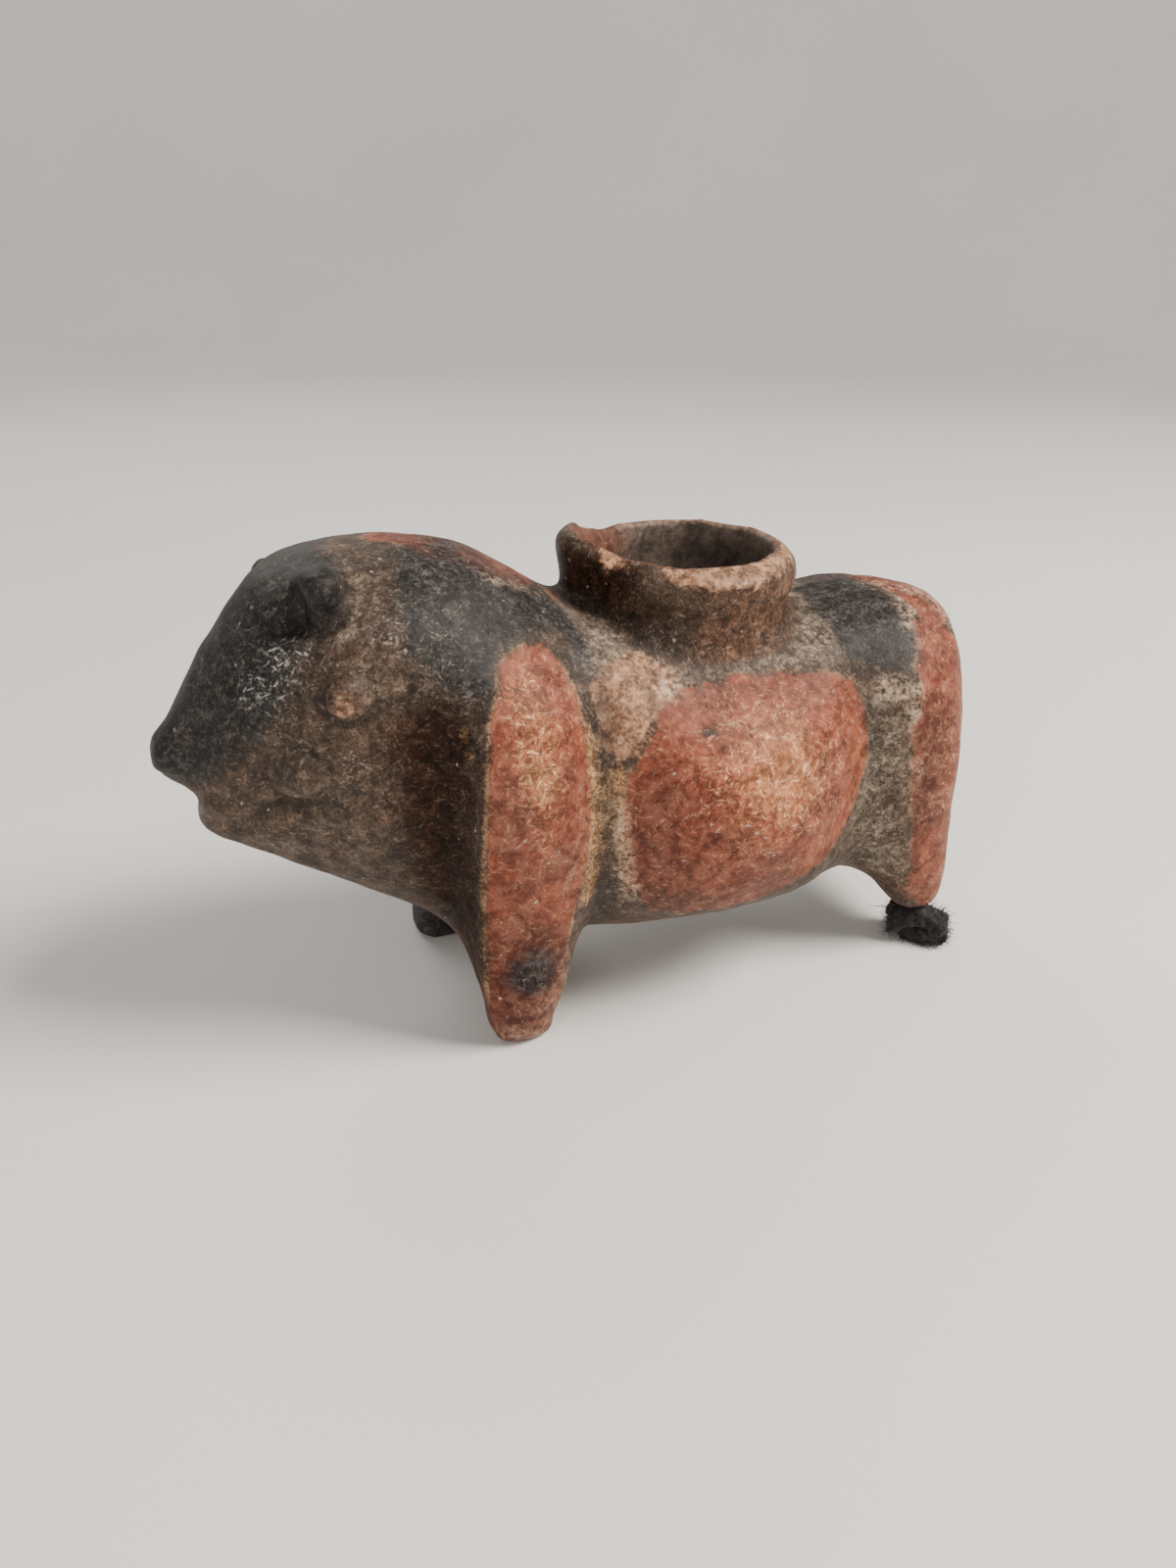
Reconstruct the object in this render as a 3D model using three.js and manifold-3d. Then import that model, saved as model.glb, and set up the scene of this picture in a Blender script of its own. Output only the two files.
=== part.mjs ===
// Four-legged animal effigy vessel in hand-modelled earthenware: a hollow body with a big
// wedge-shaped head, four stub legs and a pouring neck with a pinched lip on its back. Under
// the near hind foot, which is short, lies a scrap of felt folded double.
// Millimetres, +Z up. The head points to -X, and the near side is -Y.
import * as THREE from 'three';
import { mergeVertices } from 'three/addons/utils/BufferGeometryUtils.js';
import Module from 'manifold-3d';

const wasm = await Module();
wasm.setup();

// Body: overall length, height of the crown, width across the belly, clay wall
const BODY_LENGTH = 184;
const CROWN_HEIGHT = 107;
const BELLY_WIDTH = 84;
const WALL = 6.5;

// Neck and pouring mouth. Its place is a share of the body's length from the nose.
const NECK_AT = 0.622;
const RIM_HEIGHT = 101;
const RIM_RADIUS = 25.3;
const MOUTH_RADIUS = 19.8;
const RIM_BEVEL = 5.6;
const WAIST_RADIUS = 22;
const LIP_REACH = 3.4;
const LIP_RISE = 4;

// Legs. Feet stand at shares of the body's length from the nose, and out from its middle.
const FRONT_FOOT_AT = 0.367;
const HIND_FOOT_AT = 0.924;
const NEAR_FRONT_FOOT_OUT = 20.5;
const FAR_FRONT_FOOT_OUT = 27;
const FAR_FRONT_FOOT_AHEAD = 5;
const HIND_FOOT_OUT = 22.5;
const FRONT_FOOT_WIDTH = 13.5;
const HIND_FOOT_WIDTH = 12.5;
const SHOULDER_WIDTH = 74;
const HIP_WIDTH = 60;

// Felt folded double: its footprint, the thickness of one layer and the gap between the two
const FELT_LENGTH = 14.5;
const FELT_WIDTH = 10;
const FELT_THICKNESS = 4.1;
const FELT_FOLD_GAP = 1.5;
const FELT_TURN = THREE.MathUtils.degToRad(-38);
const REST_GAP = 0.3;

// Sizes of the facets
const SKIN_STEP = 5;
const CAVITY_STEP = 7.5;
const NECK_SIDES = 40;

const HALF_WIDTH = BELLY_WIDTH / 2;
const NECK_X = NECK_AT * BODY_LENGTH;
const FRONT_FOOT_X = FRONT_FOOT_AT * BODY_LENGTH;
const HIND_FOOT_X = HIND_FOOT_AT * BODY_LENGTH;

// Clay joined to clay: the nearer surface of the two, with a fillet of about k between them.
function join(a, b, k) {
  const h = Math.max(k - Math.abs(a - b), 0) / k;
  return Math.min(a, b) - h * h * k * 0.25;
}

// Clay cut back by a surface, with the new edge rounded by about k.
const trim = (a, b, k) => -join(-a, -b, k);

// Sections across head and body from chin to rump: where each stands as a share of the length;
// its top, widest level and underside as shares of the crown height; its half width as a share
// of half the belly's width; and how square it is, from 2 for an oval.
const SECTIONS = [
  { at: 0.03, top: 0.7, wide: 0.62, under: 0.49, half: 0.21, square: 2 },
  { at: 0.08, top: 0.83, wide: 0.68, under: 0.445, half: 0.38, square: 2.1 },
  { at: 0.14, top: 0.945, wide: 0.74, under: 0.385, half: 0.55, square: 2.2 },
  { at: 0.2, top: 0.998, wide: 0.74, under: 0.325, half: 0.67, square: 2.2 },
  { at: 0.27, top: 1.0, wide: 0.72, under: 0.255, half: 0.75, square: 2.2 },
  { at: 0.35, top: 0.98, wide: 0.6, under: 0.18, half: 0.77, square: 2.2 },
  { at: 0.44, top: 0.885, wide: 0.52, under: 0.15, half: 0.74, square: 2.2 },
  { at: 0.5, top: 0.835, wide: 0.5, under: 0.14, half: 0.86, square: 2.2 },
  { at: 0.57, top: 0.785, wide: 0.48, under: 0.14, half: 0.97, square: 2.1 },
  { at: 0.64, top: 0.77, wide: 0.47, under: 0.145, half: 1.0, square: 2.1 },
  { at: 0.72, top: 0.785, wide: 0.46, under: 0.155, half: 0.91, square: 2.3 },
  { at: 0.8, top: 0.81, wide: 0.46, under: 0.17, half: 0.71, square: 2.5 },
  { at: 0.87, top: 0.812, wide: 0.46, under: 0.175, half: 0.68, square: 2.8 },
  { at: 0.94, top: 0.79, wide: 0.46, under: 0.185, half: 0.56, square: 3 },
  { at: 1.0, top: 0.735, wide: 0.46, under: 0.2, half: 0.42, square: 3 },
];

// Cubic through the sections, so the outline runs smoothly from one to the next.
function sectionValue(key, share) {
  const last = SECTIONS.length - 1;
  let i = 0;
  while (i < last - 1 && share > SECTIONS[i + 1].at) i += 1;
  const at = (n) => SECTIONS[Math.min(last, Math.max(0, n))];
  const [p0, p1, p2, p3] = [at(i - 1), at(i), at(i + 1), at(i + 2)];
  const span = p2.at - p1.at;
  const t = THREE.MathUtils.clamp((share - p1.at) / span, 0, 1);
  const m1 = ((p2[key] - p0[key]) / (p2.at - p0.at)) * span;
  const m2 = ((p3[key] - p1[key]) / (p3.at - p1.at)) * span;
  const t2 = t * t;
  const t3 = t2 * t;
  return (2 * t3 - 3 * t2 + 1) * p1[key] + (t3 - 2 * t2 + t) * m1
    + (3 * t2 - 2 * t3) * p2[key] + (t3 - t2) * m2;
}

// Distance outside a rounded oblong with half sizes a and b; the higher power, the squarer.
function oblong(u, v, a, b, power) {
  const round = ((Math.abs(u) / a) ** power + (Math.abs(v) / b) ** power) ** (1 / power);
  return (round - 1) * Math.min(a, b);
}

const CHIN_AT = 0.041;
const CHIN_ROUNDING = 4;
const RUMP_ROUNDING = 10;

// The hand-built tube of head and body, smaller all round by inset.
function torso(p, inset) {
  const share = p.x / BODY_LENGTH;
  const wide = sectionValue('wide', share) * CROWN_HEIGHT;
  const top = sectionValue('top', share) * CROWN_HEIGHT - inset;
  const under = sectionValue('under', share) * CROWN_HEIGHT + inset;
  const reach = Math.max(1, sectionValue('half', share) * HALF_WIDTH - inset);
  const rise = Math.max(1, p.z > wide ? top - wide : wide - under);
  const side = oblong(p.y, p.z - wide, reach, rise, sectionValue('square', share));
  const front = CHIN_AT * BODY_LENGTH + inset - p.x;
  const back = p.x - (BODY_LENGTH - inset);
  return trim(trim(side, front, CHIN_ROUNDING), back, RUMP_ROUNDING);
}

// The snout: clay drawn out from the forehead to a blunt tip, as shares of the body's sizes.
const SNOUT_TIP = new THREE.Vector3(0.046 * BODY_LENGTH, 0, 0.635 * CROWN_HEIGHT);
const SNOUT_ROOT = new THREE.Vector3(0.185 * BODY_LENGTH, 0, 0.785 * CROWN_HEIGHT);
const SNOUT_TIP_RADIUS = 0.08 * CROWN_HEIGHT;
const SNOUT_ROOT_RADIUS = 0.196 * CROWN_HEIGHT;
const SNOUT_BLEND = 4;

function snout(p) {
  const along = new THREE.Vector3().subVectors(SNOUT_ROOT, SNOUT_TIP);
  const share = new THREE.Vector3().subVectors(p, SNOUT_TIP).dot(along) / along.lengthSq();
  const t = THREE.MathUtils.clamp(share, 0, 1);
  const radius = THREE.MathUtils.lerp(SNOUT_TIP_RADIUS, SNOUT_ROOT_RADIUS, t);
  return p.distanceTo(along.multiplyScalar(t).add(SNOUT_TIP)) - radius;
}

// A leg widens from its foot to a shoulder or hip in the body's side. Its section is a rounded
// oblong with a blunt ridge at each corner. The foot's underside is worn flat.
const SHOULDER = { x: FRONT_FOOT_X + 0.8, width: SHOULDER_WIDTH, halfLength: 12, halfWidth: 15, top: 86 };
const HIP = { x: HIND_FOOT_X - 5.5, width: HIP_WIDTH, halfLength: 8.5, halfWidth: 10, top: 70 };
const KNEE_HEIGHT = 30;
const LEG_CORNER = 3.6;
const FOOT_ROUNDING = 5;
const FOOT_WEAR = 1.8;
const LEG_TOP_ROUNDING = 20;

function leg(p, { foot, width, side, root }) {
  const height = p.z - foot.z;
  const knee = THREE.MathUtils.smoothstep(height, 0, KNEE_HEIGHT);
  const rise = THREE.MathUtils.clamp(height / (root.top - foot.z), 0, 1);
  const x = THREE.MathUtils.lerp(foot.x, root.x, knee);
  const out = THREE.MathUtils.lerp(foot.out, root.width / 2 - root.halfWidth, rise);
  const halfLength = THREE.MathUtils.lerp(width / 2, root.halfLength, knee);
  const halfWidth = THREE.MathUtils.lerp(width / 2, root.halfWidth, Math.sqrt(rise));
  const wall = oblong(p.x - x, p.y - side * out, halfLength, halfWidth, LEG_CORNER);
  return trim(trim(wall, -FOOT_WEAR - height, FOOT_ROUNDING), p.z - root.top, LEG_TOP_ROUNDING);
}

const FELT_HEIGHT = 2 * FELT_THICKNESS + FELT_FOLD_GAP;
const NEAR_HIND_FOOT_Z = FELT_HEIGHT + REST_GAP;
const FRONT_LEG_BLEND = 7;
const HIND_LEG_BLEND = 13;

const nearFrontFoot = { x: FRONT_FOOT_X, out: NEAR_FRONT_FOOT_OUT, z: 0 };
const farFrontFoot = { x: FRONT_FOOT_X - FAR_FRONT_FOOT_AHEAD, out: FAR_FRONT_FOOT_OUT, z: 0 };
const nearHindFoot = { x: HIND_FOOT_X, out: HIND_FOOT_OUT, z: NEAR_HIND_FOOT_Z };
const farHindFoot = { x: HIND_FOOT_X, out: HIND_FOOT_OUT, z: 0 };
const frontLeg = { width: FRONT_FOOT_WIDTH, root: SHOULDER, blend: FRONT_LEG_BLEND };
const hindLeg = { width: HIND_FOOT_WIDTH, root: HIP, blend: HIND_LEG_BLEND };
const LEGS = [
  { ...frontLeg, foot: nearFrontFoot, side: -1 },
  { ...frontLeg, foot: farFrontFoot, side: 1 },
  { ...hindLeg, foot: nearHindFoot, side: -1 },
  { ...hindLeg, foot: farHindFoot, side: 1 },
];

// The collar of clay smoothed up from the back to carry the neck. It ends inside the neck.
const COLLAR_DROP = 15;
const COLLAR_INSET = 2;
const COLLAR_BLEND = 10;

function collar(p) {
  const wall = Math.hypot(p.x - NECK_X, p.y) - (WAIST_RADIUS - COLLAR_INSET);
  return Math.max(wall, p.z - (RIM_HEIGHT - COLLAR_DROP), RIM_HEIGHT / 2 - p.z);
}

function skin(p) {
  let d = join(torso(p, 0), snout(p), SNOUT_BLEND);
  for (const each of LEGS) d = join(d, leg(p, each), each.blend);
  return join(d, collar(p), COLLAR_BLEND);
}

const hollow = (p) => torso(p, WALL);

// The closed surface where field is zero inside the box from low to high: one vertex in each
// cell that the surface crosses, and one quad around each grid edge that crosses the surface.
function surfaceOf(field, low, high, step) {
  const size = new THREE.Vector3().subVectors(high, low);
  const [nx, ny, nz] = size.toArray().map((length) => Math.ceil(length / step) + 1);
  const corner = (i, j, k) => (k * ny + j) * nx + i;
  const value = new Float64Array(nx * ny * nz);
  const point = new THREE.Vector3();
  for (let k = 0; k < nz; k += 1) {
    for (let j = 0; j < ny; j += 1) {
      for (let i = 0; i < nx; i += 1) {
        point.set(i, j, k).multiplyScalar(step).add(low);
        value[corner(i, j, k)] = field(point);
      }
    }
  }
  const inside = (i, j, k) => value[corner(i, j, k)] < 0;
  const cellVertex = new Map();
  const positions = [];
  const CELL_EDGES = [];
  for (const u of [0, 1]) {
    for (const v of [0, 1]) {
      CELL_EDGES.push([[0, u, v], [1, u, v]], [[u, 0, v], [u, 1, v]], [[u, v, 0], [u, v, 1]]);
    }
  }
  const addCell = (i, j, k) => {
    const mean = new THREE.Vector3();
    let crossings = 0;
    for (const [a, b] of CELL_EDGES) {
      const va = value[corner(i + a[0], j + a[1], k + a[2])];
      const vb = value[corner(i + b[0], j + b[1], k + b[2])];
      if (va < 0 === vb < 0) continue;
      mean.add(point.fromArray(a).lerp(new THREE.Vector3().fromArray(b), va / (va - vb)));
      crossings += 1;
    }
    if (!crossings) return;
    mean.divideScalar(crossings).add(point.set(i, j, k)).multiplyScalar(step).add(low);
    cellVertex.set(corner(i, j, k), positions.length / 3);
    positions.push(...settled(mean, field, step).toArray());
  };
  const index = [];
  const addQuad = (corners, turned) => {
    const [a, b, c, d] = (turned ? corners.reverse() : corners).map((q) => cellVertex.get(corner(...q)));
    const at = (n) => new THREE.Vector3().fromArray(positions, n * 3);
    if (at(a).distanceTo(at(c)) <= at(b).distanceTo(at(d))) index.push(a, b, c, a, c, d);
    else index.push(a, b, d, b, c, d);
  };
  for (let k = 0; k < nz - 1; k += 1) {
    for (let j = 0; j < ny - 1; j += 1) {
      for (let i = 0; i < nx - 1; i += 1) addCell(i, j, k);
    }
  }
  for (let k = 1; k < nz - 1; k += 1) {
    for (let j = 1; j < ny - 1; j += 1) {
      for (let i = 1; i < nx - 1; i += 1) {
        const solid = inside(i, j, k);
        if (solid !== inside(i + 1, j, k)) {
          addQuad([[i, j - 1, k - 1], [i, j, k - 1], [i, j, k], [i, j - 1, k]], !solid);
        }
        if (solid !== inside(i, j + 1, k)) {
          addQuad([[i - 1, j, k - 1], [i - 1, j, k], [i, j, k], [i, j, k - 1]], !solid);
        }
        if (solid !== inside(i, j, k + 1)) {
          addQuad([[i - 1, j - 1, k], [i, j - 1, k], [i, j, k], [i - 1, j, k]], !solid);
        }
      }
    }
  }
  const geometry = new THREE.BufferGeometry();
  geometry.setAttribute('position', new THREE.Float32BufferAttribute(positions, 3));
  geometry.setIndex(index);
  return geometry;
}

// A point moved down the field's slope onto the surface itself, by less than half a cell.
function settled(p, field, step) {
  const start = p.clone();
  const probe = 0.2;
  for (let pass = 0; pass < 3; pass += 1) {
    const slope = new THREE.Vector3();
    for (const axis of ['x', 'y', 'z']) {
      const ahead = p.clone();
      const behind = p.clone();
      ahead[axis] += probe;
      behind[axis] -= probe;
      slope[axis] = (field(ahead) - field(behind)) / (2 * probe);
    }
    p.addScaledVector(slope, -field(p) / Math.max(slope.lengthSq(), 0.25));
  }
  return start.add(p.sub(start).clampLength(0, step * 0.4));
}

// A closed solid through level rings of points, each ring an array in the same order.
function loft(rings) {
  const sides = rings[0].length;
  const centre = (ring) => ring.reduce((sum, q) => sum.add(q), new THREE.Vector3()).divideScalar(sides);
  const points = [...rings.flat(), centre(rings[0]), centre(rings[rings.length - 1])];
  const last = (rings.length - 1) * sides;
  const index = [];
  for (let n = 0; n < sides; n += 1) {
    const m = (n + 1) % sides;
    index.push(last + sides, m, n, last + sides + 1, last + n, last + m);
    for (let a = 0; a < last; a += sides) {
      index.push(a + n, a + m, a + sides + m, a + n, a + sides + m, a + sides + n);
    }
  }
  return new THREE.BufferGeometry().setFromPoints(points).setIndex(index);
}

// One level ring of the neck. The lip, which points to the head, draws the ring out and up.
// Upright, from 0 to 1, keeps the front of the neck plumb below the lip.
const LIP_HALF_ANGLE = 0.5;
const LIP_BEVEL_SHARE = 0.4;

function neckRing(radius, depth, upright) {
  return Array.from({ length: NECK_SIDES }, (_, n) => {
    const angle = ((n + 0.5) / NECK_SIDES) * 2 * Math.PI;
    const draw = Math.exp(-(((angle - Math.PI) / LIP_HALF_ANGLE) ** 2));
    const plumb = THREE.MathUtils.lerp(radius, RIM_RADIUS, 0.75 * draw * upright);
    const r = plumb + (LIP_REACH - upright) * draw;
    const bevel = Math.min(depth, RIM_BEVEL) * (1 - LIP_BEVEL_SHARE) * draw;
    const z = RIM_HEIGHT + LIP_RISE * draw - depth + bevel;
    return new THREE.Vector3(NECK_X + r * Math.cos(angle), r * Math.sin(angle), z);
  });
}

// The neck narrows from the rim to a waist. The rim falls outwards in a broad worn bevel.
const NECK_FOOT_DEPTH = 26;
const WAIST_DEPTH = 18;
const THROAT_NARROWING = 2.5;

const neckOutside = () => loft([
  neckRing(WAIST_RADIUS - 1, NECK_FOOT_DEPTH, 1),
  neckRing(WAIST_RADIUS, WAIST_DEPTH, 1),
  neckRing(THREE.MathUtils.lerp(WAIST_RADIUS, RIM_RADIUS, 0.35), (WAIST_DEPTH + RIM_BEVEL) / 2, 1),
  neckRing(THREE.MathUtils.lerp(WAIST_RADIUS, RIM_RADIUS, 0.88), RIM_BEVEL + 2.4, 1),
  neckRing(RIM_RADIUS, RIM_BEVEL, 1),
  neckRing(THREE.MathUtils.lerp(MOUTH_RADIUS, RIM_RADIUS, 0.57), RIM_BEVEL * 0.32, 0.5),
  neckRing(MOUTH_RADIUS, 0, 0),
]);

const neckBore = () => loft([
  neckRing(MOUTH_RADIUS - THROAT_NARROWING, NECK_FOOT_DEPTH + WALL, 0),
  neckRing(MOUTH_RADIUS - THROAT_NARROWING, WAIST_DEPTH, 0),
  neckRing(MOUTH_RADIUS - THROAT_NARROWING / 4, RIM_BEVEL, 0),
  neckRing(MOUTH_RADIUS, 1, 0),
  neckRing(MOUTH_RADIUS + 1.2, -3, 0),
]);

// The mouth: a notch cut across under the overhanging snout, in front of the chin.
const MOUTH_BACK = 0.0467 * BODY_LENGTH;
const MOUTH_LEVEL = 0.575 * CROWN_HEIGHT;
const MOUTH_SLOPE = 0.22;
const MARGIN = 8;
const SIDE = HALF_WIDTH + MARGIN;

function mouthNotch() {
  const outline = new THREE.Shape();
  outline.moveTo(-MARGIN, MOUTH_LEVEL + MARGIN * MOUTH_SLOPE);
  outline.lineTo(MOUTH_BACK, MOUTH_LEVEL - MOUTH_BACK * MOUTH_SLOPE);
  outline.lineTo(MOUTH_BACK - 0.8, MOUTH_LEVEL / 2);
  outline.lineTo(-MARGIN, MOUTH_LEVEL / 2);
  return new THREE.ExtrudeGeometry(outline, { depth: 2 * SIDE, bevelEnabled: false })
    .translate(0, 0, -SIDE)
    .rotateX(Math.PI / 2);
}

// Where a probe from outside first meets the skin.
function onSkin(from, direction) {
  const p = from.clone();
  while (skin(p) > 0) p.addScaledVector(direction, 0.1);
  return p;
}

// Pellets of clay pressed on each side: at and level are shares of the length and the crown
// height, and out is a share of half the belly's width. The head was shaped by hand, a little
// out of true, so the far ear, eye and cheek sit ahead of the near ones and lower.
const EAR_SIZE = [4.2, 5, 5.4];
const EYE_SIZE = [4.6, 3.4, 4.6];
const CHEEK_SIZE = [4.4, 3.2, 4.4];
const EAR_STAND = 2;
const EARS = [
  { at: 0.186, out: -0.417 },
  { at: 0.155, out: 0.5 },
];
const SIDE_PELLETS = [
  { at: 0.19, level: 0.794, side: -1, size: EYE_SIZE },
  { at: 0.17, level: 0.766, side: 1, size: EYE_SIZE },
  { at: 0.155, level: 0.64, side: -1, size: CHEEK_SIZE },
  { at: 0.136, level: 0.612, side: 1, size: CHEEK_SIZE },
];

function pellets() {
  const above = 2 * CROWN_HEIGHT;
  const down = new THREE.Vector3(0, 0, -1);
  const ears = EARS.map(({ at, out }) => {
    const top = onSkin(new THREE.Vector3(at * BODY_LENGTH, out * HALF_WIDTH, above), down);
    return { centre: top.addScaledVector(down, -EAR_STAND), size: EAR_SIZE };
  });
  const others = SIDE_PELLETS.map(({ at, level, side, size }) => {
    const outside = new THREE.Vector3(at * BODY_LENGTH, side * SIDE, level * CROWN_HEIGHT);
    return { centre: onSkin(outside, new THREE.Vector3(0, -side, 0)), size };
  });
  return [...ears, ...others].map(({ centre, size }) => new THREE.SphereGeometry(1, 12, 8)
    .rotateX(Math.PI / 2)
    .scale(...size)
    .translate(...centre.toArray()));
}

function toSolid(geometry) {
  const bare = geometry.clone();
  bare.deleteAttribute('normal');
  bare.deleteAttribute('uv');
  const merged = mergeVertices(bare);
  return new wasm.Manifold(new wasm.Mesh({
    numProp: 3,
    vertProperties: new Float32Array(merged.attributes.position.array),
    triVerts: new Uint32Array(merged.index.array),
  }));
}

function toGeometry(solid) {
  const mesh = solid.getMesh();
  const geometry = new THREE.BufferGeometry();
  geometry.setAttribute('position', new THREE.BufferAttribute(mesh.vertProperties.slice(), 3));
  geometry.setIndex(new THREE.BufferAttribute(mesh.triVerts.slice(), 1));
  geometry.computeVertexNormals();
  return geometry;
}

// A block that takes off everything under a level, over a square of the given half size.
function blockBelow(x, y, level, half) {
  return new THREE.BoxGeometry(2 * half, 2 * half, 2 * MARGIN).translate(x, y, level - MARGIN);
}

function makeVessel() {
  const low = new THREE.Vector3(-MARGIN, -SIDE, -MARGIN);
  const high = new THREE.Vector3(BODY_LENGTH + MARGIN, SIDE, CROWN_HEIGHT + MARGIN);
  const added = [neckOutside(), ...pellets()];
  const removed = [
    surfaceOf(hollow, low, high, CAVITY_STEP),
    neckBore(),
    mouthNotch(),
    blockBelow(BODY_LENGTH / 2, 0, 0, BODY_LENGTH),
    blockBelow(HIND_FOOT_X, -HIND_FOOT_OUT, NEAR_HIND_FOOT_Z, HIND_FOOT_WIDTH),
  ];
  let clay = toSolid(surfaceOf(skin, low, high, SKIN_STEP));
  for (const each of added) clay = clay.add(toSolid(each));
  for (const each of removed) clay = clay.subtract(toSolid(each));
  return toGeometry(clay);
}

// The felt, folded double: its outline from the near side is extruded across its width.
function makeFelt() {
  const fold = FELT_HEIGHT / 2;
  const left = -FELT_LENGTH / 2;
  const right = FELT_LENGTH / 2 - fold;
  const outline = new THREE.Shape();
  outline.moveTo(left, 0);
  outline.lineTo(right, 0);
  outline.absarc(right, fold, fold, -Math.PI / 2, Math.PI / 2, false);
  outline.lineTo(left, FELT_HEIGHT);
  outline.lineTo(left, FELT_HEIGHT - FELT_THICKNESS);
  outline.lineTo(right, FELT_HEIGHT - FELT_THICKNESS);
  outline.absarc(right, fold, FELT_FOLD_GAP / 2, Math.PI / 2, -Math.PI / 2, true);
  outline.lineTo(left, FELT_THICKNESS);
  outline.closePath();
  return new THREE.ExtrudeGeometry(outline, { depth: FELT_WIDTH, bevelEnabled: false, curveSegments: 10 })
    .translate(0, 0, -FELT_WIDTH / 2)
    .rotateX(Math.PI / 2);
}

const fired = new THREE.MeshStandardMaterial({ color: 0x6b4436, roughness: 0.55, metalness: 0 });
const wool = new THREE.MeshStandardMaterial({ color: 0x1b1a18, roughness: 1, metalness: 0 });

const vessel = new THREE.Mesh(makeVessel(), fired);
vessel.name = 'vessel';

// The foot stands over the felt's middle, a little nearer its open end.
const FELT_SHIFT = 2.5;
const felt = new THREE.Mesh(makeFelt(), wool);
felt.name = 'hind_foot_felt';
felt.rotation.z = FELT_TURN;
felt.position.set(HIND_FOOT_X + FELT_SHIFT, -HIND_FOOT_OUT - FELT_SHIFT / 5, 0);

// The origin is on the table, under the middle of the whole object.
const group = new THREE.Group();
group.add(vessel, felt);
const bounds = new THREE.Box3().setFromObject(group, true);
const middle = bounds.getCenter(new THREE.Vector3());
group.position.set(-middle.x, -middle.y, -bounds.min.z);

export default group;
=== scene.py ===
import math

import bmesh
import bpy
import numpy as np
from mathutils import Matrix, Vector, noise


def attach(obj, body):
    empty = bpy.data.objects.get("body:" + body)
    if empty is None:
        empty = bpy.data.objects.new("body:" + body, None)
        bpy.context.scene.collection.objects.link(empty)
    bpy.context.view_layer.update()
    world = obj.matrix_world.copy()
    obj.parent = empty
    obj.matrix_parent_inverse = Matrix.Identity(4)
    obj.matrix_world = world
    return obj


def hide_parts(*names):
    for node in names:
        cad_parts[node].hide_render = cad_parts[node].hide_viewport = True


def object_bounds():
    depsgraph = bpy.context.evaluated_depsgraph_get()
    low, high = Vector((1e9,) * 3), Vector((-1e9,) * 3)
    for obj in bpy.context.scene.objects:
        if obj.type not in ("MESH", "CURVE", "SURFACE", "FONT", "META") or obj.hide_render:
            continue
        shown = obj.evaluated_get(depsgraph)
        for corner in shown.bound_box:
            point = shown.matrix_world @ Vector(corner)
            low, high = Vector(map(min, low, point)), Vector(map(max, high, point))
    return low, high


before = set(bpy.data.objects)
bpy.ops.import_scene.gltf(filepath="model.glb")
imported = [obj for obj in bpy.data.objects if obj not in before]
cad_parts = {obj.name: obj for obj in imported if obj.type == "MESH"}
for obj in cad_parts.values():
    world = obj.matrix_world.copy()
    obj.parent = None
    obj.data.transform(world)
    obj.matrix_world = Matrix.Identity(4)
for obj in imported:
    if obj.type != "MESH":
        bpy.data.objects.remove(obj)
cad_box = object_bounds()
scene = bpy.context.scene


# The vessel: one hollow, hand-modelled piece of low-fired clay, its skin painted with red and
# black slips, rubbed with a pebble while leather hard, and worn and chalky with age.
# Head, ear nubs, eye and cheek pellets, legs and neck are all pinched up from the same clay.

CLAY_VOXEL = 0.00112
MERGE_DISTANCE = 2e-5


def fine_copy(node_name, piece_name, voxel, smooth_shade):
    """A new object with the node's form, its mesh made of even, joined facets."""
    form = bmesh.new()
    form.from_mesh(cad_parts[node_name].data)
    bmesh.ops.remove_doubles(form, verts=form.verts, dist=MERGE_DISTANCE)
    coarse = bpy.data.meshes.new(piece_name + "_coarse")
    form.to_mesh(coarse)
    form.free()
    piece = bpy.data.objects.new(piece_name, coarse)
    scene.collection.objects.link(piece)
    even = piece.modifiers.new("even", "REMESH")
    even.mode = "VOXEL"
    even.voxel_size = voxel
    even.use_smooth_shade = smooth_shade
    mesh = bpy.data.meshes.new_from_object(piece.evaluated_get(bpy.context.evaluated_depsgraph_get()))
    piece.modifiers.clear()
    piece.data = mesh
    mesh.name = piece_name
    return piece, mesh


vessel, clay_mesh = fine_copy("vessel", "vessel_clay", CLAY_VOXEL, True)

# Points and edges of the skin, in millimetres.
count = len(clay_mesh.vertices)
flat = np.empty(count * 3)
clay_mesh.vertices.foreach_get("co", flat)
at = flat.reshape(-1, 3) * 1000.0
pairs = np.empty(len(clay_mesh.edges) * 2, np.int64)
clay_mesh.edges.foreach_get("vertices", pairs)
one, other = pairs.reshape(-1, 2).T
joined = (np.bincount(one, minlength=count) + np.bincount(other, minlength=count))[:, None]
lowest, highest = (np.array(corner) * 1000.0 for corner in cad_box)


def around(values):
    """The mean of each point's neighbours."""
    total = np.empty_like(values)
    for k in range(values.shape[1]):
        total[:, k] = np.bincount(one, values[other, k], count) + np.bincount(other, values[one, k], count)
    return total / joined


def smoothed(points, weight, steps):
    """Points drawn towards the mean of their neighbours."""
    for step in range(steps):
        points = points + weight[:, None] * (around(points) - points)
    return points


def ramp(value, low, high):
    """0 at low, 1 at high, with a smooth run between them."""
    t = np.clip((value - low) / (high - low), 0, 1)
    return t * t * (3 - 2 * t)


def put(points):
    """Moves the skin to the points and gives its normals."""
    clay_mesh.vertices.foreach_set("co", (points / 1000.0).ravel())
    clay_mesh.update()
    normals = np.empty(count * 3)
    clay_mesh.vertex_normals.foreach_get("vector", normals)
    return normals.reshape(-1, 3)


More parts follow.
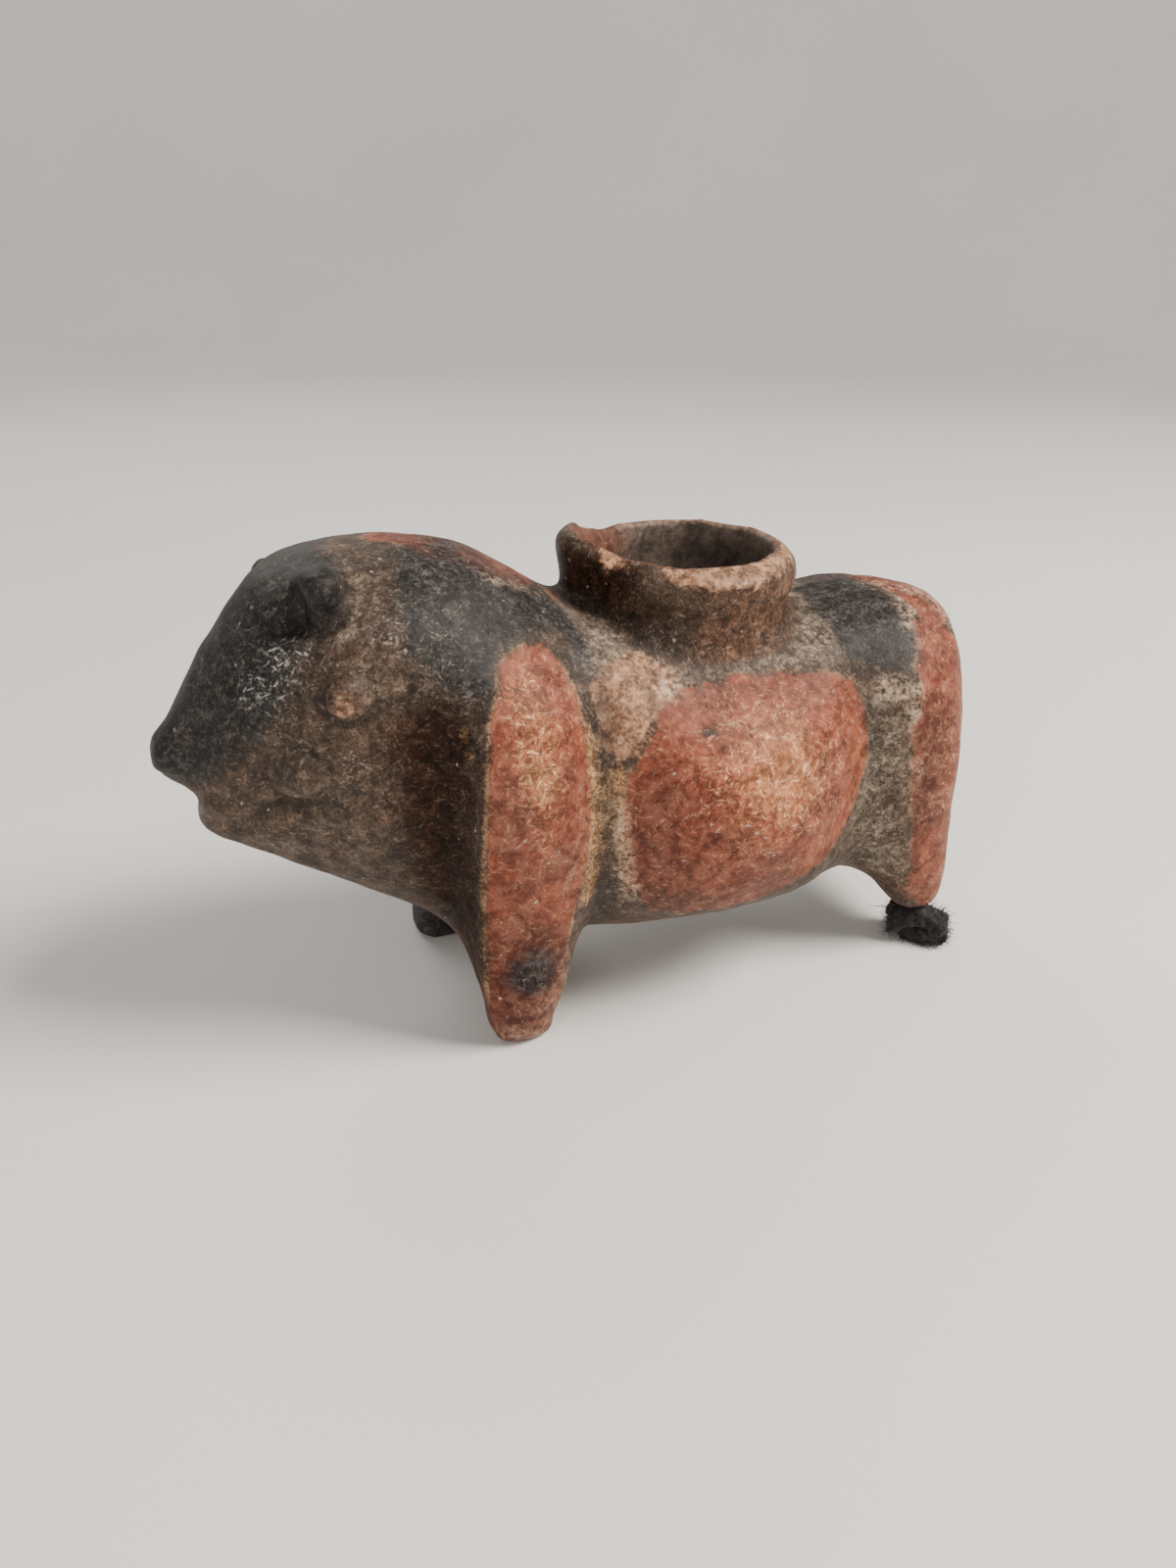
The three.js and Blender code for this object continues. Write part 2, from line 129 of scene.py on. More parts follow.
def away_from(x, y, z):
    """How far each point is from a place."""
    return np.linalg.norm(at - np.array((x, y, z)), axis=1)


def line(points, reach):
    """1 on a line through the points, fading out over reach millimetres."""
    least = np.full(count, 1e9)
    for start, end in zip(points, points[1:]):
        start, end = np.array(start, float), np.array(end, float)
        t = np.clip(((at - start) @ (end - start)) / ((end - start) @ (end - start) + 1e-9), 0, 1)
        least = np.minimum(least, np.linalg.norm(at - start - t[:, None] * (end - start), axis=1))
    return np.exp(-(least / reach) ** 2)


def spot(x, y, z, reach):
    """1 at a place, fading out over reach millimetres."""
    return line([(x, y, z), (x, y, z + 0.01)], reach)


def strokes(*parts):
    """The sum of soft strokes, each with its strength, its reach and one point or more."""
    total = np.zeros(count)
    for strength, reach, points in parts:
        total += strength * (line(points, reach) if len(points) > 1 else spot(*points[0], reach))
    return total


def lumps(size, seed):
    """Smooth noise from about -1 to 1 with lumps of that size."""
    places = at / size + seed
    return np.array([noise.noise(Vector(place)) for place in places]) * 1.6


def patch(outline, u, v):
    """Millimetres inside a closed outline, negative outside it."""
    corners = np.array(outline, float)
    nearest = np.full(count, 1e9)
    inside = np.zeros(count, bool)
    for (u0, v0), (u1, v1) in zip(corners, np.roll(corners, -1, 0)):
        t = np.clip(((u - u0) * (u1 - u0) + (v - v0) * (v1 - v0)) / ((u1 - u0) ** 2 + (v1 - v0) ** 2), 0, 1)
        nearest = np.minimum(nearest, np.hypot(u - u0 - t * (u1 - u0), v - v0 - t * (v1 - v0)))
        inside ^= ((v0 > v) != (v1 > v)) & (u < (u1 - u0) * (v - v0) / (v1 - v0 + 1e-9) + u0)
    return np.where(inside, nearest, -nearest)


def on_side(points, side, ahead=0.0, drop=0.0):
    """Points of one flank, put on the near side (-1) or the far side (1)."""
    return [(x + ahead, side * y, z + drop) for x, y, z in points]


# The broad facets are rubbed smooth; rim, ears, pellets, shins, muzzle and feet keep more edge.
NECK_X = 22.15
NECK_REACH = 34
NEAR_EAR = (-58.1, -17.5, 102.5)
FAR_EAR = (-63.8, 21.0, 101.0)
NEAR_EYE = (-57.9, -30.1, 86.1)
FAR_EYE = (-61.9, 30.1, 83.1)
NEAR_CHEEK = (-67.3, -23.6, 69.2)
FAR_CHEEK = (-71.3, 23.6, 66.2)
SHIN = [(-32.0, 30.3, 85.3), (-33.4, 33.3, 78.8), (-34.0, 34.7, 71.6), (-34.5, 34.4, 61.4),
        (-34.6, 32.8, 50.0), (-34.5, 30.9, 37.7), (-34.0, 28.8, 24.7), (-32.1, 27.2, 10.7)]
FAR_LEG_BACK = 1.5
from_neck = np.hypot(at[:, 0] - NECK_X, at[:, 1])
rim = ramp(at[:, 2], 90, 95) * ramp(from_neck, NECK_REACH, 30)
ears = np.maximum(spot(*NEAR_EAR, 8), spot(*FAR_EAR, 8))
shins = np.maximum(line(on_side(SHIN, -1), 4), line(on_side(SHIN, 1, FAR_LEG_BACK), 4))
muzzle = ramp(at[:, 0], -76, -81)
pellets = strokes((1, 7, [NEAR_EYE]), (1, 7, [(-67.5, -24.1, 70.5)]), (1, 7, [FAR_EYE]),
                  (1, 7, [(-71.3, 23.6, 67.2)]))
soft = np.clip(1 - 0.93 * rim - 0.75 * ears - 0.6 * shins - 0.88 * muzzle - 0.7 * pellets, 0, 1)
soft = soft * ramp(at[:, 2], 0.6, 4)
at = smoothed(at, 0.5 * soft, steps=26)

# The mouth: a flat-bottomed upper lip that stands out over the small lower jaw.
lip = ramp(at[:, 0], -83.0, -84.4) * ramp(at[:, 2], 68.5, 63.0) * ramp(at[:, 2], 57.5, 59.4)
at[:, 2] += 2.5 * lip * ramp(np.abs(at[:, 1]), 15, 9)
at[:, 0] -= 0.8 * ramp(at[:, 0], -79, -84) * ramp(at[:, 2], 50.5, 52.5) * ramp(at[:, 2], 57.5, 55)
facing = put(at)

# The cavity is left as it is: its skin faces the line through the middle of the belly and the neck.
middle_line = np.clip(at[:, 0], -60, 75)
to_middle = np.stack([middle_line - at[:, 0], -at[:, 1], 66 - at[:, 2]], 1)
in_belly = (at[:, 1] / 31) ** 2 + ((at[:, 2] - 58) / 30) ** 2 < 1
in_neck = (from_neck < 21.5) & (at[:, 2] > 76) & (at[:, 2] < 97)
inner = ((to_middle * facing).sum(1) > 0) & in_belly | in_neck
outer = 1.0 - inner

# Low relief, in millimetres along the skin's normal. The far side has the near side's features,
# a little further ahead and lower on the head.
CREASE = [(-78.5, 9.5, 55.5), (-74.7, 15.7, 59.8), (-71.6, 18.4, 62.8), (-67.0, 21.3, 63.9),
          (-63.5, 26.0, 66.2)]
JAW_FLAP = [(-72.0, 16.0, 57.2), (-66.0, 21.0, 60.2), (-58.0, 25.4, 61.2), (-52.0, 28.0, 61.5)]
BEFORE_LEG = [(-42.5, 31.0, 79.0), (-43.0, 31.5, 68.0), (-42.0, 29.0, 54.0), (-39.5, 25.5, 43.0),
              (-37.2, 20.5, 27.1)]
BEHIND_LEG = [(-6.8, 27.8, 76.7), (-9.2, 32.1, 66.4), (-8.6, 32.5, 53.4), (-8.6, 31.7, 44.0),
              (-5.7, 28.8, 32.4)]
BEFORE_HIP = [(54.0, 25.5, 75.0), (56.5, 30.0, 64.0), (57.0, 31.0, 50.0), (58.0, 29.0, 38.0),
              (61.5, 27.0, 28.0)]
BROW = [(-66, 19.5, 93), (-70, 18.6, 88.3), (-74, 17.2, 81), (-79, 14.2, 73.5)]
NEAR_EAR_RELIEF = (
    (-2.3, 4.4, [(-62.2, -17.5, 100.2), (-65.0, -17.3, 96.5)]),
    (0.5, 3.6, [(-58.5, -3.5, 106.3), (-53.6, -7.0, 106.8), (-52.4, -15.2, 103.8), (-53.0, -20.0, 100.0),
                (-55.6, -22.8, 95.5)]),
    (-0.5, 2.4, [(-57.5, -8.5, 106.6), (-54.8, -13.0, 105.2), (-54.4, -18.5, 102.0), (-56.0, -21.6, 98.2)]))
FAR_EAR_RELIEF = (
    (-2.3, 4.4, [(-67.0, 20.0, 99.0), (-70.0, 19.0, 95.0)]),
    (0.5, 3.6, [(-63.0, 8.0, 105.0), (-58.6, 12.0, 105.5), (-58.0, 20.0, 102.0), (-59.0, 24.0, 97.0)]),
    (-0.5, 2.4, [(-61.0, 14.0, 104.5), (-59.8, 19.5, 102.0), (-61.0, 24.0, 98.0)]))
push = strokes(*NEAR_EAR_RELIEF) + strokes(*FAR_EAR_RELIEF)
for side, ahead, drop, back, eye, cheek in ((-1, 0.0, 0.0, 0.0, NEAR_EYE, NEAR_CHEEK),
                                            (1, -4.0, -3.0, FAR_LEG_BACK, FAR_EYE, FAR_CHEEK)):
    for centre, radius, depth, disc, disc_radius in ((eye, 5.6, 1.05, 0.65, 4.2),
                                                     (cheek, 6.2, 0.95, 0.75, 4.8)):
        away = away_from(*centre)
        under = 0.35 + 0.65 * ramp(centre[2] - at[:, 2] + 0.4 * (centre[0] - at[:, 0]), -3, 4)
        push -= depth * under * np.exp(-((away - radius - 0.5) / 1.2) ** 2)
        push += disc * np.exp(-(away / disc_radius) ** 4)
    push += strokes(
        (-0.35, 1.8, [(eye[0] - 0.9, eye[1], eye[2] - 1.6)]),
        (-0.75, 1.5, on_side(CREASE, side, ahead, drop)),
        (0.45, 2.8, on_side(JAW_FLAP, side, ahead, drop)),
        (0.9, 2.0, on_side(SHIN, side, back)),
        (-1.5, 5.5, on_side(BEFORE_LEG, side, back)),
        (-1.2, 4.0, on_side(BEHIND_LEG, side, back)),
        (-0.9, 4.5, on_side(BEFORE_HIP, side, back)))
push += (0.30 * lumps(17, 3.1) + 0.16 * lumps(7.5, 8.7) + 0.07 * lumps(3.2, 5.9)) * (1 - 0.7 * rim)
push += 0.10 * lumps(6.0, 2.2) * rim
push += strokes((0.6, 3.2, on_side(BROW, -1)), (0.5, 3.2, on_side(BROW, 1, -4, -2)),
                (0.7, 8, [(83, -12, 83)]), (1.5, 8, [(86, -3, 85)]),
                (0.8, 10, [(-25, -28, 3), (-25, -29, 14)]))

# The ear nubs end in round knobs with a groove under each.
for low, high, height in (((-60.6, -20.4, 102.2), (-59.4, -18.8, 104.2), 2.5),
                          ((-65.6, 22.0, 98.6), (-64.5, 20.5, 101), 0.9)):
    low, high = np.array(low), np.array(high)
    along = high - low
    t = np.clip(((at - low) @ along) / (along @ along), 0, 1)
    away = np.linalg.norm(at - low - t[:, None] * along, axis=1)
    below = 0.35 + 0.65 * ramp(0.7 * (low[2] - at[:, 2]) + 0.7 * (low[0] - at[:, 0]), -4, 3)
    below *= 1 - 0.85 * ramp(np.abs(at[:, 1]), 17, 12.5)
    push += height * (1 - 0.8 * ramp(at[:, 2], 103.5, 106.5)) * np.exp(-(away / 4.0) ** 4)
    push -= 1.6 * below * np.exp(-((away - 6.4) / 1.7) ** 2)
at = at + (push * outer * ramp(at[:, 2], 0.3, 3))[:, None] * facing
at[:, 2] += (1.2 * spot(-59.0, -12.0, 104.2, 3.4) + 1.9 * spot(-60.0, -19.5, 101.5, 6.0)) * outer
too_high = np.clip(at[:, 2] - 106.2, 0, None) * ramp(at[:, 1], -8, -13) * ramp(at[:, 0], -48, -53)
at[:, 2] -= 0.40 * too_high
at = smoothed(at, 0.4 * ears, steps=4)

# The pouring lip's tip is brought to a corner.
tip = spot(-5.4, 0, 104.2, 3.6) * ramp(at[:, 2], 98, 101.5)
at[:, 2] += 1.1 * tip * ramp(at[:, 0], 3, -3) + 1.7 * spot(1.0, 8.5, 101.5, 4.5) * ramp(at[:, 2], 97, 100)
at[:, 0] -= 0.8 * tip

# The rim stands a little higher and wider, with a dip and small chips in its far edge, a nick
# under the lip and a wavy crest.
from_axis = np.stack([at[:, 0] - NECK_X, at[:, 1]], 1)
from_axis /= np.linalg.norm(from_axis, axis=1)[:, None] + 1e-6


def outwards(normals):
    """How far each normal looks away from the neck's axis."""
    return (normals[:, :2] * from_axis).sum(1)


stand = rim * ramp(at[:, 2], 92, 98)
at[:, 2] += stand * (0.9 + 0.7 * ramp(at[:, 1], -14, 14))
at[:, :2] += (0.8 * stand * ramp(from_neck, 20.5, 23))[:, None] * from_axis
for depth, reach, centre in ((1.3, 3.0, (10.5, 19.5, 101.0)), (0.8, 2.2, (20.0, 22.5, 101.0)),
                             (0.7, 2.0, (40.5, 12.5, 101.0))):
    at[:, 2] -= depth * spot(*centre, reach) * rim
at[:, 2] += 0.35 * lumps(11, 6.6) * rim * ramp(at[:, 2], 97, 101)
at -= (0.8 * spot(2.0, -11.8, 100.9, 1.8))[:, None] * facing
at = smoothed(at, 0.5 * rim, steps=7)

# Its crest falls away outwards in a bevel.
for step in range(5):
    facing = put(at)
    falling = outwards(facing) * np.clip(facing[:, 2] * 1.4, 0, 1)
    for again in range(3):
        falling = around(falling[:, None])[:, 0]
    at[:, 2] -= 0.40 * falling * rim * ramp(at[:, 2], 96, 99)
    at = smoothed(at, 0.2 * rim, steps=1)

# Towards the lip the rim thins to a plain crest; elsewhere the bevel ends in a low edge.
facing = put(at)
lean = rim * ramp(at[:, 2], 93, 101) * ramp(at[:, 0], 12, 0) * ramp(outwards(facing), 0.1, -0.4)
at[:, :2] += (1.5 * lean)[:, None] * from_axis
outside = rim * ramp(outwards(facing), 0.3, 0.6) * ramp(at[:, 0], 4, 16)
above_edge = at[:, 2] - 97.0 - 0.14 * np.abs(at[:, 0] - 24)
edge_swell = 0.55 * np.exp(-(above_edge / 1.3) ** 2) - 0.45 * np.exp(-((above_edge + 3.0) / 1.7) ** 2)
at[:, :2] += (outside * edge_swell)[:, None] * from_axis

# No point of the crest stands over its neighbours, so the rim has an even, worn line.
CREST_PARTS = 60
turn = np.arctan2(at[:, 1], at[:, 0] - NECK_X)
limits = np.linspace(-math.pi, math.pi, CREST_PARTS + 1)
tops = np.array([at[(turn >= a) & (turn < b) & (rim > 0.5), 2].max() for a, b in zip(limits, limits[1:])])
for step in range(2):
    tops = 0.25 * (np.roll(tops, 1) + 2 * tops + np.roll(tops, -1))
cap = np.interp(turn, (limits[1:] + limits[:-1]) / 2, tops, period=math.tau)
at[:, 2] = np.where(rim > 0.5, np.minimum(at[:, 2], cap), at[:, 2])
for step in range(6):
    heights = at[:, 2:]
    at[:, 2] += 0.6 * rim * ramp(at[:, 2], 97.5, 99) * (around(around(heights)) - heights)[:, 0]
    at = smoothed(at, 0.3 * rim * ramp(at[:, 2], 96, 99), steps=1)
three_way = (joined[:, 0] < 3.5) * rim * ramp(at[:, 2], 96, 98)
at = smoothed(at, 0.7 * three_way, steps=4)
at = np.clip(at, lowest + 0.01, highest - 0.01)
facing = put(at)
outward = outwards(facing)

# How hollow or proud each point is, for dirt and painted shade in the hollows and wear on the proud places.
blurred = at
for step in range(10):
    blurred = around(blurred)
sunk = ((blurred - at) * facing).sum(1)
bosses = strokes((1, 10, [(-60.2, -19.6, 102.6)]), (1, 10, [FAR_EAR]), (1, 7, [NEAR_EYE]),
                 (1, 7, [NEAR_CHEEK]), (1, 7, [FAR_EYE]), (1, 7, [FAR_CHEEK]))
kept_proud = np.clip(1 - bosses - shins, 0, 1) * (1 - 0.6 * muzzle) * (1 - 0.9 * rim * ramp(at[:, 0], 22, 8))
sunk = np.where(sunk < 0, sunk * kept_proud, sunk)

# Slip, smoke and painted shade, as millimetres inside each area's edge. The side outlines are x and z, those
# of the nape and the rump's top are x and y.
FAR_OUTSIDE = -30.0
LEG = [(-20, 90.2), (-26, 89.5), (-29.1, 87.6), (-30.7, 83.5), (-32.9, 78.8), (-33.8, 70.1),
       (-34.2, 61.4), (-34.5, 51.1), (-34.4, 40.3), (-34.2, 28.9), (-33.6, 16.5), (-33, -3), (-14, -3),
       (-17.5, 17.1), (-17.0, 31.5), (-15.0, 36.5), (-13.4, 43.2), (-12.8, 52.4), (-12.3, 63.2),
       (-12.9, 70.5), (-13.7, 78.6), (-14.9, 84.5), (-17.3, 89)]
BELLY = [(3.3, 75.2), (9, 77.2), (20.2, 78.2), (34, 77.6), (45.5, 76), (52, 72.5), (54.8, 66), (54.6, 58),
         (52.5, 50), (49.8, 44.5), (44.1, 37.4), (35, 31.5), (24, 27.5), (11.1, 26.2), (3, 29),
         (-2.2, 35), (-4.6, 43), (-5.2, 54), (-4.4, 62), (-1.0, 69.5)]
HIP = [(69, 90), (70.5, 85.2), (71.2, 80.5), (67.8, 74.4), (65.8, 65.2), (65.2, 59.3), (65.9, 45.9),
       (67.4, 36.1), (69.5, 27.5), (71.5, 19.5), (71.5, 8), (86.5, 8), (87.5, 30), (87.5, 60), (86, 78),
       (84, 92)]
NAPE = [(-50, -2), (-47.8, -4.4), (-40.9, -7.8), (-36.4, -11.4), (-31, -12.7), (-25.6, -13.6),
        (-19.4, -12.2), (-13.0, -4.5), (-11, 3), (-16, 11), (-26, 13), (-38, 10.5), (-47, 6)]
RUMP_TOP = [(55, 4), (61, 2.2), (66, 1.0), (70.5, -4), (72, -12), (72, -24), (90, -24), (94, 0), (90, 24),
            (74, 24), (70, 14), (63, 10), (56, 8)]
FACE = [(-93, 63.5), (-91, 65.4), (-84.2, 65.9), (-79.6, 70.3), (-75.1, 74.5), (-71.4, 78.2),
        (-67.7, 83.2), (-65.8, 88.9), (-62.6, 93.9), (-57.6, 96.5), (-55.4, 100.2), (-54.8, 105),
        (-57, 112), (-105, 112), (-105, 55)]
SHOULDER = [(-47, 101), (-42, 107), (-30.4, 107), (-20.3, 99.6), (-12, 95.4), (-8, 91.5), (-6.0, 86),
            (-7, 81.0), (-11.2, 84), (-12.5, 88.8), (-16.5, 91.3), (-23.1, 91.6), (-29, 90), (-31.3, 84),
            (-35.2, 83.0), (-40.4, 85.5), (-45.5, 93)]
RUMP = [(50.5, 79.5), (49.5, 84), (51.5, 90), (61.3, 92), (68.3, 90), (70.0, 86.1), (70, 81.1),
        (66.3, 75.0), (60.4, 73.9), (54.7, 75.5)]
BARE_TAN = [(-9.5, 80.5), (-5.5, 83.6), (2, 83.2), (10, 80.2), (7.5, 76.5), (2, 73.5), (-2.5, 67.5),
            (-5.5, 66.5), (-9.0, 69.5)]
LEG_SPOT = (-24.8, -31.7, 20.9)
x, y, z = at.T
red = np.full(count, FAR_OUTSIDE)
for side, shift, wobble in ((-1, 0.0, 0.0), (1, 3.0, 2.2)):
    for outline, depth in ((LEG, 18.5), (BELLY, 12), (HIP, 17)):
        moved = [(u + shift + wobble * math.sin(0.13 * v), v + wobble * math.cos(0.11 * u))
                 for u, v in outline]
        bare_below = 9.0 * ramp(z, 34, 18) if side > 0 and outline is LEG else 0.0
        red = np.maximum(red, np.minimum(patch(moved, x, z), side * y - depth - bare_below))
on_top = (z > 80) & (from_neck > 31)
red = np.maximum(red, np.where(on_top, patch(NAPE, x, y) - 2.6 * ramp(x, -34, -46), FAR_OUTSIDE))
red = np.maximum(red, np.where(on_top, patch(RUMP_TOP, x, y) - 1.0, FAR_OUTSIDE))

black = patch(FACE, x, z)
for outline in (SHOULDER, RUMP):
    lowered = [(u + 3, v - 1.5) for u, v in outline]
    black = np.maximum(black, np.where(y < 2, patch(outline, x, z), FAR_OUTSIDE))
    black = np.maximum(black, np.where(y > -2, patch(lowered, x, z) - 1.5, FAR_OUTSIDE))
# Black spots on the near leg, the near ear, the far leg and the near hind foot; the largest, round the far
# front foot, is painted shade.
for centre, radius in ((LEG_SPOT, 5.6), ((-60.4, -19.8, 102.6), 5.6), ((-22, 33.0, 40.0), 5.0),
                       ((72, -27, 11), 4.5), ((-30, 19, 5), 12.0)):
    black = np.maximum(black, radius - away_from(*centre))

# Bare tan clay: a patch on each flank, the rim's bevel, a chip on the lip and one on the near eye.
tan = np.where(y < 0, patch(BARE_TAN, x, z), FAR_OUTSIDE)
far_tan = [(58 - u * 0.9, v - 6) for u, v in BARE_TAN]
tan = np.maximum(tan, np.where(y > 0, patch(far_tan, x, z), FAR_OUTSIDE))
bevel = np.minimum(np.minimum(z - 96.0 - 0.16 * np.abs(x - 24), 104.5 - z), 9 * (outward - 0.12))
bevel = np.where(from_neck < 32, bevel, FAR_OUTSIDE) - 10 * ramp(x, 13, -3)
bevel = np.maximum(bevel, 1.9 - away_from(1.2, -10.8, 101.6) / 1.3)
tan = np.maximum(np.maximum(tan, bevel), 1.9 - away_from(-58.9, -30.6, 84.4))

# Wear, a painted sheen, painted highlights and colour changes, as soft strokes.
# Rubbed slip with a painted sheen: most on the middle of each belly, the tops of the front legs and the near
# hip.
worn_and_sheen = strokes(
    (1.0, 17, [(27, -37.5, 61)]), (0.4, 4, [(-23, -36, 66), (-23.5, -35, 48)]),
    (0.75, 7, [(-24, -32, 86), (-24, -36, 68)]), (0.6, 16, [(20, 38, 60)]),
    (0.5, 5, [(76, -31, 60), (77, -31, 40)]), (0.5, 7, [(-24, 36, 86), (-24, 38, 68)]))
maroon = strokes(
    (0.6, 7, [(78, -4, 88), (85, -12, 80), (89, -14, 62), (88, -16, 40)]),
    (0.5, 4, [(-31.5, -34, 64), (-31.5, -32, 42)]), (1.2, 11, [(-25, -32, 24), (-25, -29, 2)]),
    (0.9, 5.5, [(70, -32, 62), (70, -33, 40)]), (0.3, 9, [(75, -26, 80), (76, -30, 20)]),
    (0.65, 9, [(1, -34, 34), (0, -35, 56)]), (0.5, 6, [(6, -34, 30), (34, -36, 34)]),
    (0.9, 9, [(-22, 36, 30), (-22, 30, 2)]), (0.7, 10, [(66, 33, 50)]))
ochre = strokes(
    (1.0, 3.0, [(-12.0, -33, 76), (-10.0, -33, 60), (-10.5, -33, 46), (-12, -32, 36)]),
    (0.8, 2.4, [(-6, -32, 64), (-5.5, -33, 50), (-4, -32, 36)]),
    (0.7, 4.5, [(50.5, -33, 62), (46, -36, 44), (34, -39, 34)]),
    (0.7, 1.8, [(-36.5, -31, 77), (-35.8, -32, 72)]), (0.42, 2.6, [(-20.5, -36, 62), (-22, -35, 48)]),
    (0.8, 3, [(-12, 36, 72), (-12, 36, 44)]))
chalk = strokes(
    (0.8, 3.8, [(6.5, -26.5, 78.2)]), (0.7, 3.2, [(-6.5, -32, 56), (-5.5, -32.5, 46), (-2.5, -31, 34)]),
    (0.35, 2.1, [(-58.8, -30.4, 84.2)]), (0.16, 5.0, [NEAR_EYE]), (0.7, 1.8, [(-67.9, -21.4, 65.8)]),
    (0.24, 4.6, [NEAR_CHEEK]), (0.5, 4, [(57, -29, 70), (61, -28, 71)]), (0.62, 3.4, [(-57.5, -29.5, 71.5)]),
    (0.5, 2.5, [(60, -27.5, 71), (66, -28.3, 70)]), (0.5, 2, [(64.8, -30.6, 65)]),
    (0.5, 2, [(67.8, -32.6, 52)]), (0.6, 2, [(73, -15, 84), (68.6, -19.7, 81.3)]),
    (0.5, 5, [(70, -3, 88), (80, -8, 86), (84, -14, 78)]),
    (0.38, 1.4, [(-14.6, -34, 66), (-14.6, -33.7, 50), (-17.8, -33.8, 41)]),
    (0.36, 1.8, [(70.5, -22, 79), (65.8, -30, 64), (66, -32, 46), (68.5, -31, 28)]),
    (0.45, 4, [(-8, -24, 84), (-3, -17, 88)]), (0.5, 2.2, [(-25.6, -13.8, 100.7), (-13.4, -8, 96)]),
    (0.6, 2.0, [(71, -18, 84), (71.5, -12, 86)]), (0.5, 5, [(8, 27, 77)]), (0.5, 6, [(60, 30, 60)]))
# Painted highlights on the near brow, the shoulder and under the near eye, and none on the near ear.
painted_highlight = strokes(
    (1.0, 5, [(-66, -19, 92), (-70.5, -18.5, 86)]), (-0.9, 5, [(-60.6, -20, 102.6)]),
    (0.3, 7, [(-50, -25, 96), (-40, -25, 96)]), (0.6, 4.5, [(-57.5, -29.5, 71.5)]))

# The neck: its skin, the inside of its mouth and its crest.
NECK_RADIUS = 22.6
LIP_X = -5.6
NECK = [(NECK_X + NECK_RADIUS * math.cos(a), NECK_RADIUS * math.sin(a)) for a in np.linspace(-2.2, 2.2, 23)]
beside_neck = -patch(NECK + [(LIP_X, 1.5), (LIP_X, -1.5)], x, y)
near_rim = (from_neck < NECK_REACH) * ramp(z, 88, 92)
spout = np.maximum(ramp(beside_neck, 4.8, 2.2) * ramp(z, 78.5, 81.5), near_rim * ramp(x, -9.5, -8))
throat = np.maximum(inner, near_rim * ramp(outward, 0.02, -0.22))
crest = (from_neck < NECK_REACH) * ramp(z, 98, 100) * ramp(np.abs(outward), 0.5, 0.2)
neck_skin = spout * (1 - throat)
ruddy = (strokes((0.4, 4, [(56, -12, 86), (70, -14, 84)]), (0.7, 4.6, [(-58.2, -30.2, 86)]),
                 (0.5, 6, [(54, -2, 88), (68, -8, 87)]))
         + 0.5 * ramp(z, 30, 22) + neck_skin * (0.25 + 0.75 * ramp(x - 0.35 * (z - 85), 6, 26))
         + 0.9 * throat * ramp(z, 90, 96) * ramp(x, 26, 8) + 0.8 * crest)
# Dark brown on the near leg's spot, the neck's skin and round the neck's base, and painted shade on the chest
# before each front leg.
umber_and_shade = np.clip(
    strokes((0.7, 6, [LEG_SPOT]), (1.0, 10, [(-43, -31, 74), (-42, -29, 54), (-38, -24, 36), (-34, -22, 14)]),
            (1.0, 10, [(-43, 31, 74), (-38, 24, 36)]), (0.25, 6, [(-43, -31, 82)]), (0.4, 7, [(-3, -6, 99)]),
            (0.4, 6, [(2, -13, 97)]))
    + neck_skin * (0.25 * ramp(x, 24, 8) + 0.3 * ramp(x, 10, -1)) * ramp(z, 104, 100) - 0.6 * crest, 0, 1)
olive = (strokes((0.7, 3.2, [(-57.5, -9, 106.8), (-53.4, -12, 105), (-52.8, -19, 101), (-55.6, -23, 95.5)]),
                 (0.9, 8, [(57, -30, 66), (58, -30, 44), (64, -26, 26)]),
                 (0.5, 5, [(-7, -30, 74), (-7, -32, 48), (-4, -28, 30)]),
                 (0.7, 9, [(57, 30, 66), (66, 25, 20)]))
         + ramp(z, 75, 80) * ramp(beside_neck, 18, 9) * (1 - spout) * ramp(z, 97, 92)
         + 0.6 * ramp(z, 26, 16) * ramp(np.abs(y), 24, 18))
# Painted shadow inside the neck: its skin darkens past the middle, on the side away from the lip.
sunk += 0.16 * throat * ramp(x, 22, 36)
for name, values in (("red", red), ("black", black), ("tan", tan), ("worn_and_sheen", worn_and_sheen), ("maroon", maroon),
                     ("ochre", ochre), ("chalk", chalk), ("umber_and_shade", umber_and_shade), ("olive", olive), ("ruddy", ruddy),
                     ("sunk", sunk), ("inner", throat), ("shin", shins), ("painted_highlight", painted_highlight)):
    layer = clay_mesh.attributes.new(name, "FLOAT", "POINT")
    layer.data.foreach_set("value", np.clip(values, FAR_OUTSIDE, -FAR_OUTSIDE).astype(np.float32))


def add(kind, inputs=None, **settings):
    """A node of the current tree with its settings; its inputs are values or other nodes' outputs."""
    node = tree.nodes.new("ShaderNode" + kind)
    for name, value in settings.items():
        setattr(node, name, value)
    for name, value in (inputs or {}).items():
        if isinstance(value, bpy.types.NodeSocket):
            tree.links.new(value, node.inputs[name])
        else:
            node.inputs[name].default_value = value
    return node


def vector(operation, inputs, output=0):
    return add("VectorMath", inputs, operation=operation).outputs[output]


def maths(operation, a, b=0.0, clamp=False):
    return add("Math", {0: a, 1: b}, operation=operation, use_clamp=clamp).outputs[0]


def plus(a, b):
    return maths("ADD", a, b)


def times(a, b):
    return maths("MULTIPLY", a, b)


def without(value, share=1.0):
    """1 less a share of the value."""
    return maths("SUBTRACT", 1.0, value if share == 1.0 else times(value, share))


def waver(pattern, amount):
    """A noise pattern as a shift to either side of 0."""
    return times(maths("SUBTRACT", pattern, 0.5), amount)


def step_between(value, low, high):
    """0 at low, 1 at high, with a smooth run between them."""
    return add("MapRange", {"Value": value, "From Min": low, "From Max": high},
               interpolation_type="SMOOTHSTEP").outputs[0]


